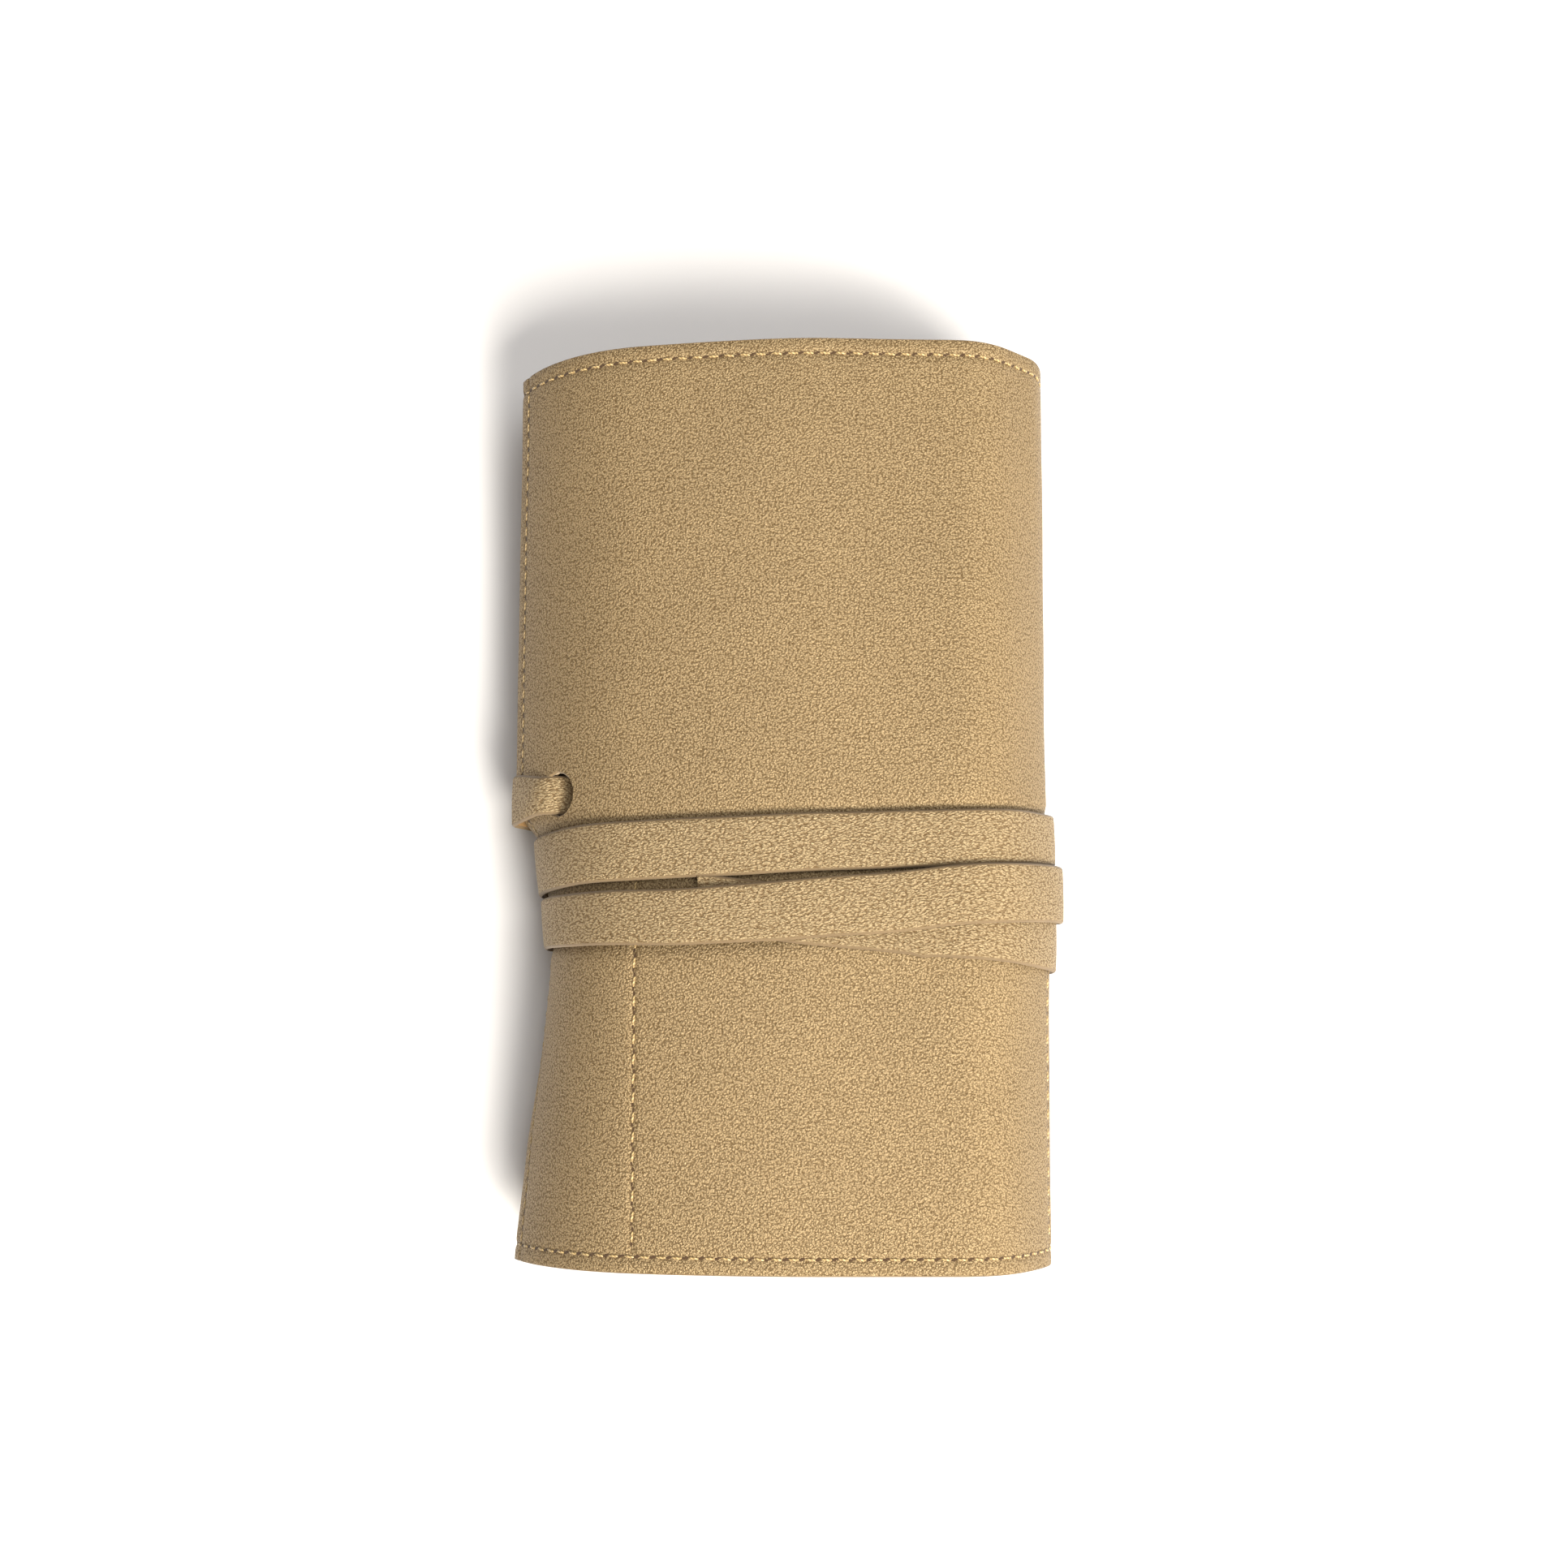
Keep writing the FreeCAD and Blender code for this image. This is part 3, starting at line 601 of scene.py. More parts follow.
        x = x + tucked * np.where(girth < m[3], hold, 0.0)
        upper = np.where((girth > m[3]) & (girth < m[4]), np.clip(angle - 4 * quarter, 0.0, quarter), 0.0)
        slack = self.shoulder_slack * np.sin(2 * upper) ** 2 * (1.35 - upper)
        x = x - slack * np.cos(angle)
        z = z - slack * np.sin(angle)
        square = np.exp(-(((angle - 4 * quarter - 0.35) / 0.34) ** 2))
        square = square * smoothstep(50.0, self.half_length, place)
        z = z + np.where((girth > m[3]) & (girth < m[4]), self.shoulder_rise * square, 0.0)
        z = z + np.where(girth > m[4], self.crest * smoothstep(40.0, self.half_length, place)
                         * np.exp(-(((x - 4.0) / 22.0) ** 2)), 0.0)
        corner = smoothstep(45.0, self.half_length, place) * smoothstep(m[5] + 8.0, m[7], girth)
        x = x + self.curl * 0.25 * corner
        z = z + self.curl * corner
        belly = np.exp(-(((place + 24.0) / 26.0) ** 2)) * np.clip(np.cos(angle), 0.0, 1.0)
        x = x + np.where((girth > m[3]) & (girth < m[4]), self.strap_bulge * belly, 0.0)
        lift = np.where((girth > m[1]) & (girth < m[4]), np.maximum(0.0, self.rise_at(place) - z), 0.0)
        return x * (1 + self.flare * place / self.half_length), z + lift, angle

    def pressed(self, x: Array, place: Array, girth: Array) -> Array:
        """Depth of the soft dents that the strap presses into the top and the folds.

        Args:
            x: X of each point.
            place: Place along the axis.
            girth: Distance along the outline.

        Returns:
            Depths in millimetres.
        """
        dent = np.zeros_like(x)
        for table in (self.first_pass, self.second_pass):
            off = np.abs(place - soft_table(table, x, 4.0))
            dent = np.maximum(dent, 0.9 * (1 - smoothstep(5.2, 9.6, off)))
        return dent * smoothstep(self.marks[3] + 20, self.marks[3] + 34, girth)

    def wave(self, girth: Array, place: Array) -> Array:
        """Faint hand-made unevenness of the rolled sheet.

        Args:
            girth: Distance along the outline.
            place: Place along the axis.

        Returns:
            How far each point stands out.
        """
        slow = np.sin(girth * 0.051 + 0.8) * np.sin(place * 0.043 + 1.9)
        quick = np.sin(girth * 0.13 + place * 0.061) * np.sin(place * 0.117 - 0.4)
        return 0.16 * slow + 0.07 * quick

    def groove(self, girth: Array, place: Array) -> Array:
        """Depth of the furrow that the thread pulls into the leather along each seam.

        Args:
            girth: Distance along the outline.
            place: Place along the axis.

        Returns:
            Depths in millimetres.
        """
        m = self.marks
        hem = np.abs(np.abs(place) - (self.half_length - self.hem_inset))
        end = np.minimum(np.abs(girth - (m[7] - self.edge_inset)), np.abs(girth - self.edge_inset))
        seam = np.minimum(np.abs(girth - m[6]), np.abs(girth - self.right_fold(self.side_seam_angle)))
        seam = np.where((place < self.pocket_mouth) & (place > self.pocket_low - 3), seam, 9.0)
        near = np.minimum(np.minimum(hem, end), seam)
        return 0.3 * np.exp(-((near / 0.75) ** 2))

    def surface(self, girth: Array, place: Array, depth: Array) -> Array:
        """Points of the case in millimetres.

        Args:
            girth: Distance along the outline from the inner panel's edge.
            place: Distance along the axis.
            depth: Distance inside the outer surface.

        Returns:
            One row of X, Y and Z for each point.
        """
        girth, place, depth = (np.asarray(v, float) for v in np.broadcast_arrays(girth, place, depth))
        x, z, angle = self.bare(girth, place)
        skin = np.clip(1 - depth / self.leather, 0.0, 1.0)
        inward = depth + self.pressed(x, place, girth) - self.wave(girth, place) * (z > 6)
        inward = inward + skin * self.groove(girth, place)
        return np.stack([x - inward * np.cos(angle), place, z - inward * np.sin(angle)], axis=-1)


# ---------------------------------------------------------------- stretches between the hinges

@dataclass(frozen=True)
class Stretch:
    """A length of the sheet that bends over one hinge of the case."""

    name: str
    first: float
    last: float
    bodies: tuple[str, str]
    start: tuple[float, float]    # X and Z where the bend starts
    end: tuple[float, float]
    stands_for: tuple[str, ...]   # bodies whose CAD sheets it stands for

    def bend(self, piece: bpy.types.Object) -> None:
        """Bake a piece's placement into its mesh; it is not bent over the hinge here."""
        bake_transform(piece)


def case_stretches(outline: CaseOutline) -> list[Stretch]:
    """Cut the sheet half way between its hinges.

    Args:
        outline: The case's outline.

    Returns:
        The stretches in order of girth.
    """
    right, left = outline.back_right, -outline.back_left
    big, small = outline.fold_radius, outline.inner_fold_radius
    reach, drop = big * math.cos(math.radians(30)), big / 2
    mid_back = outline.marks[2] + 23.0
    turns = [outline.left_fold(150), outline.left_fold(210), outline.right_fold(-30), outline.right_fold(30)]
    return [
        Stretch("panel", 0.0, turns[0], ("left_upper", "inner_panel"), (left, 1.5 * small),
                (left, 1.85 * small), ("inner_panel",)),
        Stretch("left_fold", turns[0], turns[1], ("left_upper", "left_lower"), (left, 1.5 * small),
                (left, 0.5 * small), ("left_upper",)),
        Stretch("left_back", turns[1], mid_back, ("left_lower", "back"), (left - 7, 0), (left, 0),
                ("left_lower",)),
        Stretch("right_back", mid_back, turns[2], ("back", "right_lower"), (right, 0),
                (right + reach, big - drop), ("back",)),
        Stretch("right_fold", turns[2], turns[3], ("right_lower", "right_upper"), (right, big - drop),
                (right, big + drop), ("right_lower", "right_upper")),
        Stretch("flap", turns[3], outline.marks[7], ("right_upper", "cover"), (right + reach, big + drop),
                (right, 2 * big), ("cover",)),
    ]


# ---------------------------------------------------------------- leather, padding and lining

class Layer(Enum):
    """The three layers of the sheet: node suffix, slot, and how far its ends stand back."""

    LEATHER = ("shell", "leather", 0.0)
    PADDING = ("padding", "padding", 0.9)
    LINING = ("lining", "lining", 0.35)


@dataclass
class SheetCoat:
    """One layer of the case over all the stretches."""

    outline: CaseOutline
    layer: Layer
    outside: bpy.types.Material
    inside: bpy.types.Material
    edge: bpy.types.Material
    girth_step: float
    place_step: float
    clearance: float = 0.02
    pieces: list[bpy.types.Object] = field(default_factory=list)

    def depths(self) -> tuple[float, float]:
        """Depth of the layer's outer and inner face.

        Returns:
            The two depths inside the outer surface.
        """
        case = self.outline
        tops = {Layer.LEATHER: 0.0, Layer.PADDING: case.leather, Layer.LINING: case.leather + case.padding}
        bottoms = {Layer.LEATHER: case.leather, Layer.PADDING: case.leather + case.padding,
                   Layer.LINING: case.thickness}
        top = tops[self.layer] + (self.clearance if self.layer is not Layer.LEATHER else 0.0)
        return top, bottoms[self.layer]

    def lines(self, first: float, last: float, step: float, seams: Iterable[float]) -> Array:
        """Grid lines between two ends, closer together at the seams.

        Args:
            first: First line.
            last: Last line.
            step: Usual distance between them.
            seams: Where the seams are.

        Returns:
            The lines in rising order.
        """
        plain = np.linspace(first, last, max(2, round((last - first) / step) + 1))
        if self.layer is not Layer.LEATHER:
            return plain
        close = [seam + off for seam in seams for off in (-1.3, -0.75, -0.35, 0.0, 0.35, 0.75, 1.3)]
        close = [line for line in close if first + 0.4 < line < last - 0.4]
        kept = [line for line in plain if all(abs(line - near) > 0.5 for near in close)
                or line in (first, last)]
        return np.unique(np.round(kept + close, 4))

    def ring(self, half: float) -> tuple[Array, Array, int, int]:
        """Cross-section of the layer: places and depths round it, from -Y to +Y outside and back inside.

        Args:
            half: Half length of the layer.

        Returns:
            Places, depths, number of points on one face, and number round one edge.
        """
        top, bottom = self.depths()
        soft = min(0.3, 0.35 * (bottom - top))
        hem = self.outline.half_length - self.outline.hem_inset
        row = self.lines(soft - half, half - soft, self.place_step, (-hem, hem))
        bulge = [(half - 0.3 * soft, top + 0.3 * soft), (half, top + soft), (half, bottom - soft),
                 (half - 0.3 * soft, bottom - 0.3 * soft)]
        places = [*row, *(p for p, _ in bulge), *row[::-1], *(-p for p, _ in bulge[::-1])]
        edge = [d for _, d in bulge]
        depths = [top] * len(row) + edge + [bottom] * len(row) + edge[::-1]
        return np.array(places), np.array(depths), len(row), len(bulge)

    def stretch_piece(self, stretch: Stretch) -> bpy.types.Object:
        """Build the layer over one stretch, rounded at the case's own edges and square elsewhere.

        Args:
            stretch: The stretch.

        Returns:
            The object.
        """
        case = self.outline
        standing_back = self.layer.value[2]
        first = stretch.first + (standing_back if stretch.first == 0.0 else 0.0)
        free_end = stretch.last == case.marks[7]
        last = stretch.last - (standing_back if free_end else 0.0)
        places, depths, row, turn = self.ring(case.half_length - standing_back)
        seams = (case.edge_inset, case.right_fold(case.side_seam_angle), case.marks[6],
                 case.marks[7] - case.edge_inset)
        girths = list(self.lines(first, last, self.girth_step, seams))
        top, bottom = self.depths()
        soft = min(0.3, 0.35 * (bottom - top))
        squeeze = [0.0] * len(girths)
        if stretch.first == 0.0:
            girths = [first, first + 0.3 * soft, first + soft] + girths[1:]
            squeeze = [soft, 0.3 * soft, 0.0] + squeeze[1:]
        if free_end:
            girths = girths[:-1] + [last - soft, last - 0.3 * soft, last]
            squeeze = squeeze[:-1] + [0.0, 0.3 * soft, soft]
        count = len(places)
        middle = (top + bottom) / 2
        narrowed = 1 - 2 * np.array(squeeze)[:, None] / (bottom - top)
        grid_depth = middle + (depths[None, :] - middle) * narrowed
        grid_girth = np.repeat(np.array(girths)[:, None], count, axis=1)
        grid_place = np.repeat(places[None, :], len(girths), axis=0)
        faces: list[tuple[int, ...]] = []
        kinds: list[int] = []
        side = [0] * (row - 1) + [2] * (turn + 1) + [1] * (row - 1) + [2] * (turn + 1)
        for i in range(len(girths) - 1):
            for j in range(count):
                k = (j + 1) % count
                faces.append((i * count + j, i * count + k, (i + 1) * count + k, (i + 1) * count + j))
                kinds.append(side[j])
        for i, flip in ((0, False), (len(girths) - 1, True)):
            corners = self.end_faces(i * count, row, turn)
            faces += [face[::-1] if flip else face for face in corners]
            kinds += [2] * len(corners)
        params = np.stack([grid_girth, grid_place, grid_depth], axis=-1).reshape(-1, 3)
        if free_end:
            params, faces, kinds = self.pierce(params, faces, kinds)
        points = case.surface(params[:, 0], params[:, 1], params[:, 2])
        flat = np.stack([params[:, 0], params[:, 1] + params[:, 2]], axis=-1)
        used = np.unique([n for face in faces for n in face])
        renumber = np.full(len(points), -1)
        renumber[used] = np.arange(len(used))
        faces = [tuple(renumber[list(face)]) for face in faces]
        return mesh_piece(f"{stretch.name}_{self.layer.name.lower()}", points[used], faces, flat[used],
                          (self.outside, self.inside, self.edge), kinds)

    @staticmethod
    def end_faces(base: int, row: int, turn: int) -> list[tuple[int, ...]]:
        """Faces that close a cross-section, as quads from the outer row to the inner row.

        Args:
            base: Number of the section's first point.
            row: Points on one face.
            turn: Points round one edge.

        Returns:
            The faces by point number.
        """
        inner = row + turn
        quads = [(base + j + 1, base + j, base + inner + row - 1 - j, base + inner + row - 2 - j)
                 for j in range(row - 1)]
        far = tuple(base + n for n in range(row - 1, row + turn + 1))
        near = tuple(base + n for n in range(inner + row - 1, inner + row + turn)) + (base,)
        return quads + [far[::-1], near[::-1]]

    def pierce(self, params: Array, faces: list[tuple[int, ...]],
               kinds: list[int]) -> tuple[Array, list[tuple[int, ...]], list[int]]:
        """Cut the round strap hole through both faces and line it with the cut edge.

        Args:
            params: Girth, place and depth of each point.
            faces: Faces by point number.
            kinds: Slot number of each face.

        Returns:
            The same three with the hole in them.
        """
        case = self.outline
        middle = np.array([case.marks[7] - case.hole_girth, case.hole_place])
        top, bottom = self.depths()
        clear = case.hole_radius + 2.7
        rims: list[list[int]] = []
        kept_faces: list[tuple[int, ...]] = []
        kept_kinds: list[int] = []
        dropped: dict[int, list[tuple[int, ...]]] = {0: [], 1: []}
        for face, kind in zip(faces, kinds):
            centre = params[list(face), :2].mean(axis=0)
            if kind in dropped and np.linalg.norm(centre - middle) < clear:
                dropped[kind].append(face)
            else:
                kept_faces.append(face)
                kept_kinds.append(kind)
        bearing = np.arctan2(params[:, 1] - middle[1], params[:, 0] - middle[0])
        for kind in (0, 1):
            edges = {pair for face in dropped[kind] for pair in zip(face, face[1:] + face[:1])}
            border = {n for a, b in edges if (b, a) not in edges for n in (a, b)}
            rims.append(sorted(border, key=lambda n: bearing[n]))
        rows = [rims[0]]
        new = [params]
        start = len(params)
        rough = random.Random(7)
        angles = [float(bearing[n]) for n in rims[0]]
        ragged = [rough.uniform(-0.14, 0.14) for _ in angles]
        stands_back = 0.0 if self.layer is Layer.LEATHER else 0.2
        for extra, depth in ((1.1, top), (0.22, top), (0.02, top + 0.22), (-0.1, (top + bottom) / 2),
                             (0.05, bottom - 0.05), (0.2, bottom), (1.1, bottom)):
            radius = [case.hole_radius + stands_back + extra + rag for rag in ragged]
            new.append(np.array([[middle[0] + r * math.cos(a), middle[1] + r * math.sin(a), depth]
                                 for r, a in zip(radius, angles)]))
            rows.append(list(range(start, start + len(angles))))
            start += len(angles)
        rows.append(rims[1])
        if len(rims[0]) != len(rims[1]):
            raise ValueError("the hole's outer and inner border don't match")
        slots = (0, 0, 2, 2, 2, 2, 1, 1)
        for upper, lower, slot in zip(rows, rows[1:], slots):
            for i in range(len(upper)):
                j = (i + 1) % len(upper)
                kept_faces.append((upper[j], upper[i], lower[i], lower[j]))
                kept_kinds.append(slot)
        return np.concatenate(new), kept_faces, kept_kinds

    def build(self, stretches: Sequence[Stretch]) -> list[bpy.types.Object]:
        """Args:
            stretches: The stretches.

        Returns:
            The objects.
        """
        suffix, slot, _ = self.layer.value
        for stretch in stretches:
            piece = self.stretch_piece(stretch)
            stretch.bend(piece)
            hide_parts(*(f"{body}_{suffix}" for body in stretch.stands_for))
            self.pieces.append(piece)
            LOG.info("%s: %d points", piece.name, len(piece.data.vertices))
        return self.pieces


# ---------------------------------------------------------------- stitches

class Face(Enum):
    """Which face of the sheet a stitch lies on."""

    OUTSIDE = -1
    INSIDE = 1


@dataclass
class Stitching:
    """Thread stitches, each a short twist that dips into its needle holes, which are flat dark discs of
    painted shade.
    """

    outline: CaseOutline
    thread: bpy.types.Material
    needle_hole: bpy.types.Material
    length: float = 3.0
    radius: float = 0.31
    slant: float = 0.11           # radians, how far each stitch lies across the seam
    pitch: float = 3.8
    pocket_pitch: float = 4.4
    hole_offset: float = 0.16     # a needle hole's middle lies this far past the stitch's end

    def one(self, girth: float, place: float, along_girth: bool, level: float, face: Face,
            wobble: float) -> tuple[Array, list[tuple[int, ...]], Array, list[int]]:
        """One stitch and its two needle holes, each a flat dark disc of painted shade.

        Args:
            girth: Girth of its middle.
            place: Place along the axis of its middle.
            along_girth: Runs round the roll, or else along the axis.
            level: Depth of the face it lies on.
            face: Outside or inside.
            wobble: Turn off the seam line, in radians.

        Returns:
            Points, faces, flat coordinates and slot numbers.
        """
        ring, steps = 6, 7
        ways: list[tuple[float, float, float]] = []
        flat: list[tuple[float, float]] = []
        for i in range(steps):
            share = 2 * i / (steps - 1) - 1
            thick = self.radius * max(0.12, 1 - abs(share) ** 3.2)
            for j in range(ring):
                turn = 2 * math.pi * j / ring
                out = 0.12 - 0.4 * share ** 4 + 0.85 * thick * math.sin(turn)
                ways.append((share * self.length / 2, thick * math.cos(turn), out))
                flat.append((share * self.length / 2 + 10 * girth, j * 0.35))
        faces = [(i * ring + j, i * ring + k, (i + 1) * ring + k, (i + 1) * ring + j)
                 for i in range(steps - 1) for j, k in zip(range(ring), (*range(1, ring), 0))]
        faces += [tuple(range(ring))[::-1], tuple((steps - 1) * ring + n for n in range(ring))]
        kinds = [0] * len(faces)
        # each needle hole is a flat dark disc just over the leather, in the second slot: painted shade of the
        # hole
        rim = 8
        for side in (-1, 1):
            base = len(ways)
            middle = side * (self.length / 2 + self.hole_offset)
            for j in range(rim):
                turn = 2 * math.pi * j / rim
                ways.append((middle + 0.5 * math.cos(turn), 0.34 * math.sin(turn), 0.05))
                flat.append((0.4 * math.cos(turn), 0.4 * math.sin(turn)))
            faces.append(tuple(range(base, base + rim)))
            kinds.append(1)
        spots = np.array(ways)
        along = spots[:, 0] * math.cos(wobble) - spots[:, 1] * math.sin(wobble)
        across = spots[:, 0] * math.sin(wobble) + spots[:, 1] * math.cos(wobble)
        if not along_girth:
            along, across = -across, along
        sink = 0.0 if face is Face.OUTSIDE else 0.1
        depth = level + face.value * (spots[:, 2] - sink)
        case = self.outline
        x, z, angle = case.bare(girth + along, place + across)
        dip = case.pressed(x, place + across, np.full_like(x, girth))
        if face is Face.OUTSIDE:
            dip = dip + case.groove(np.full_like(x, girth), np.full_like(x, place)) * 0.9
        inward = depth + dip - case.wave(girth + along, place + across) * (z > 6)
        points = np.stack([x - inward * np.cos(angle), place + across, z - inward * np.sin(angle)], axis=-1)
        return points, faces, np.array(flat), kinds

    def sew(self, name: str, spots: Sequence[tuple[float, float]], along_girth: bool, level: float,
            face: Face) -> bpy.types.Object:
        """Make one object of a row or rows of stitches.

        Args:
            name: Piece name.
            spots: Girth and place of each stitch.
            along_girth: Direction of the rows.
            level: Depth of the face they lie on.
            face: Outside or inside.

        Returns:
            The object.
        """
        points, faces, flats, kinds = [], [], [], []
        count = 0
        hand = random.Random(name)
        for girth, place in spots:
            shift = hand.uniform(-0.12, 0.12)
            got = self.one(girth + (shift if along_girth else 0.0), place + (0.0 if along_girth else shift),
                           along_girth, level, face, self.slant + hand.uniform(-0.08, 0.08))
            points.append(got[0])
            faces += [tuple(n + count for n in f) for f in got[1]]
            flats.append(got[2])
            kinds += got[3]
            count += len(got[0])
        return mesh_piece(name, np.concatenate(points), faces, np.concatenate(flats),
                          (self.thread, self.needle_hole), kinds, crease=80)

    @staticmethod
    def spread(first: float, last: float, pitch: float) -> list[float]:
        """Middles of stitches between two ends at about one pitch."""
        count = max(1, round((last - first) / pitch))
        return [first + (last - first) * (n + 0.5) / count for n in range(count)]

    def hems(self, stretches: Sequence[Stretch]) -> None:
        """Rows along both ends of the case, on the leather and on the lining.

        Args:
            stretches: The stretches; each one's bend step, which only bakes placement, is run on its rows.
        """
        case = self.outline
        ends = (case.half_length - case.hem_inset, case.hem_inset - case.half_length)
        for stretch in stretches:
            first = max(stretch.first, 1.0)
            last = min(stretch.last, case.marks[7] - 1.0)
            spots = [(girth, end) for girth in self.spread(first, last, self.pitch) for end in ends]
            outer = self.sew(f"{stretch.name}_hem_thread", spots, True, 0.0, Face.OUTSIDE)
            inner = self.sew(f"{stretch.name}_hem_thread_inside", spots, True, case.thickness, Face.INSIDE)
            for piece in (outer, inner):
                stretch.bend(piece)
            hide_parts(*(f"{body}_hem_stitches" for body in stretch.stands_for))
            LOG.info("%s: %d stitches", outer.name, len(spots))

    def seams(self, stretches: Sequence[Stretch]) -> None:
        """Rows along the free edge, the inner edge and the wide pocket.

        Args:
            stretches: The stretches; the right fold's bend step, which only bakes placement, is run on one
                row.
        """
        case = self.outline
        hem = case.half_length - case.hem_inset
        edge = [(case.marks[7] - case.edge_inset, place) for place in self.spread(-hem, hem, self.pitch)]
        pocket = self.spread(case.pocket_low, case.pocket_mouth - 1, self.pocket_pitch)
        rows = (
            ("free_edge_thread", edge, "free_edge_stitches", "cover"),
            ("inner_edge_thread", [(case.edge_inset, place) for _, place in edge], "inner_edge_stitches",
             "inner_panel"),
            ("pocket_seam_thread", [(case.marks[6], place) for place in pocket], "pocket_seam_stitches",
             "cover"),
            ("pocket_side_thread", [(case.right_fold(case.side_seam_angle), place) for place in pocket],
             "pocket_side_stitches", None),
        )
        for name, spots, node, body in rows:
            piece = self.sew(name, spots, False, 0.0, Face.OUTSIDE)
            if body:
                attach(piece, body)
            else:
                next(s for s in stretches if s.name == "right_fold").bend(piece)
            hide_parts(node)
            LOG.info("%s: %d stitches", name, len(spots))


# ---------------------------------------------------------------- pockets

@dataclass
class Pocket:
    """A fabric pocket sewn to the lining: a thin sheet that stands off it in one or more soft arches."""

    outline: CaseOutline
    fabric: bpy.types.Material
    name: str
    first: float                  # girth of its two sides
    last: float
    height: float
    arches: int = 1
    thick: float = 0.8
    flange: float = 1.2           # sewn strip at each side of an arch
    close_over: float = 12.0      # length over which the bottom end closes

    def lift(self, girth: Array, place: Array) -> Array:
        """How far the sheet stands off the lining.

        Args:
            girth: Distance along the outline.
            place: Place along the axis.

        Returns:
            Heights in millimetres.
        """
        share = (girth - self.first) / (self.last - self.first) * self.arches
        across = np.abs((share % 1.0) * 2 - 1)
        across[share >= self.arches] = 1.0
        width = (self.last - self.first) / self.arches
        reach = 1 - 2 * self.flange / width
        arch = np.sqrt(np.clip(1 - (across / reach) ** 2.6, 0.0, 1.0))
        along = smoothstep(self.outline.pocket_low + 1.5, self.outline.pocket_low + self.close_over, place)
        sag = 1 - 0.1 * smoothstep(-40.0, self.outline.pocket_mouth, place) * (1 - across)
        return self.height * arch * along * sag

    def build(self) -> bpy.types.Object:
        """Make the pocket as a closed thin sheet with a folded mouth.

        Returns:
            The object.
        """
        case = self.outline
        girths = np.linspace(self.first, self.last, max(24, 22 * self.arches) + 1)
        places = np.linspace(case.pocket_low, case.pocket_mouth, 64)
        grid_girth, grid_place = np.meshgrid(girths, places, indexing="ij")
        base = case.thickness + 0.03
        lift = self.lift(grid_girth, grid_place)
        hem = 0.25 * smoothstep(case.pocket_mouth - 5.5, case.pocket_mouth - 4.5, grid_place)
        near = case.surface(grid_girth, grid_place, base + lift)
        far = case.surface(grid_girth, grid_place, base + lift + self.thick * 0.75 + hem)
        n, m = grid_girth.shape
        points = np.concatenate([near.reshape(-1, 3), far.reshape(-1, 3)])
        size = n * m
        faces: list[tuple[int, ...]] = []
        for i in range(n - 1):
            for j in range(m - 1):
                quad = (i * m + j, i * m + j + 1, (i + 1) * m + j + 1, (i + 1) * m + j)
                faces += [quad, tuple(size + k for k in quad[::-1])]
        border = [(i * m, (i + 1) * m) for i in range(n - 1)]
        border += [((n - 1) * m + j, (n - 1) * m + j + 1) for j in range(m - 1)]
        border += [((i + 1) * m + m - 1, i * m + m - 1) for i in range(n - 1)]
        border += [(j + 1, j) for j in range(m - 1)]
        faces += [(a, b, size + b, size + a) for a, b in border]
        flat = np.stack([grid_girth, grid_place], axis=-1).reshape(-1, 2)
        piece = mesh_piece(self.name, points, faces, np.concatenate([flat, flat]), (self.fabric,), crease=50)
        LOG.info("%s: %d points", self.name, len(points))
        return piece


def make_pockets(outline: CaseOutline, finishes: Wardrobe, stretches: Sequence[Stretch]) -> None:
    """Sew in the brush pockets, the wide pocket and the two inner pockets.

    Args:
        outline: The case's outline.
        finishes: The case's finishes.
        stretches: The stretches; the bend step of two of them, which only bakes placement, is run on the wide
            pocket's pieces.
    """
    back = outline.marks[2] + outline.back_left
    pitch = 19.0
    for number in range(4):
        centre = back + (number - 1.5) * pitch
        pocket = Pocket(outline, finishes.twill, f"brush_pocket_sleeve_{number + 1}",
                        centre - pitch / 2 + 0.2, centre + pitch / 2 - 0.2, 6.4).build()
        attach(pocket, "back")
        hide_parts(f"brush_pocket_{number + 1}")
    side = outline.right_fold(30)
    panel = Pocket(outline, finishes.suede, "wide_pocket_panel", side + 0.3, outline.marks[6] - 0.6, 5.0,
                   flange=0.4).build()
    next(s for s in stretches if s.name == "flap").bend(panel)
    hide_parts("cover_wide_pocket")
    corner = Pocket(outline, finishes.suede, "wide_pocket_side", outline.right_fold(2), side - 0.3,
                    0.05).build()
    next(s for s in stretches if s.name == "right_fold").bend(corner)
    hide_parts("right_upper_pocket_sheet")
    inner = Pocket(outline, finishes.twill, "inner_panel_sleeves", 1.2, outline.marks[1] - 1.2, 5.2,
                   arches=2).build()
    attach(inner, "inner_panel")
    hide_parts("inner_brush_pockets")
    sewing = Stitching(outline, finishes.thread, finishes.needle_hole)
    valleys = [back + (number - 2) * pitch + off for number in range(5) for off in (-0.75, 0.75)][1:-1]
    places = sewing.spread(outline.pocket_low + 1, outline.pocket_mouth - 2, sewing.pocket_pitch)
    spots = [(girth, place) for girth in valleys for place in places]
    rows = sewing.sew("brush_pocket_thread", spots, False, outline.thickness + 0.65, Face.INSIDE)
    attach(rows, "back")
    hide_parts("brush_pocket_stitches")


# ---------------------------------------------------------------- strap

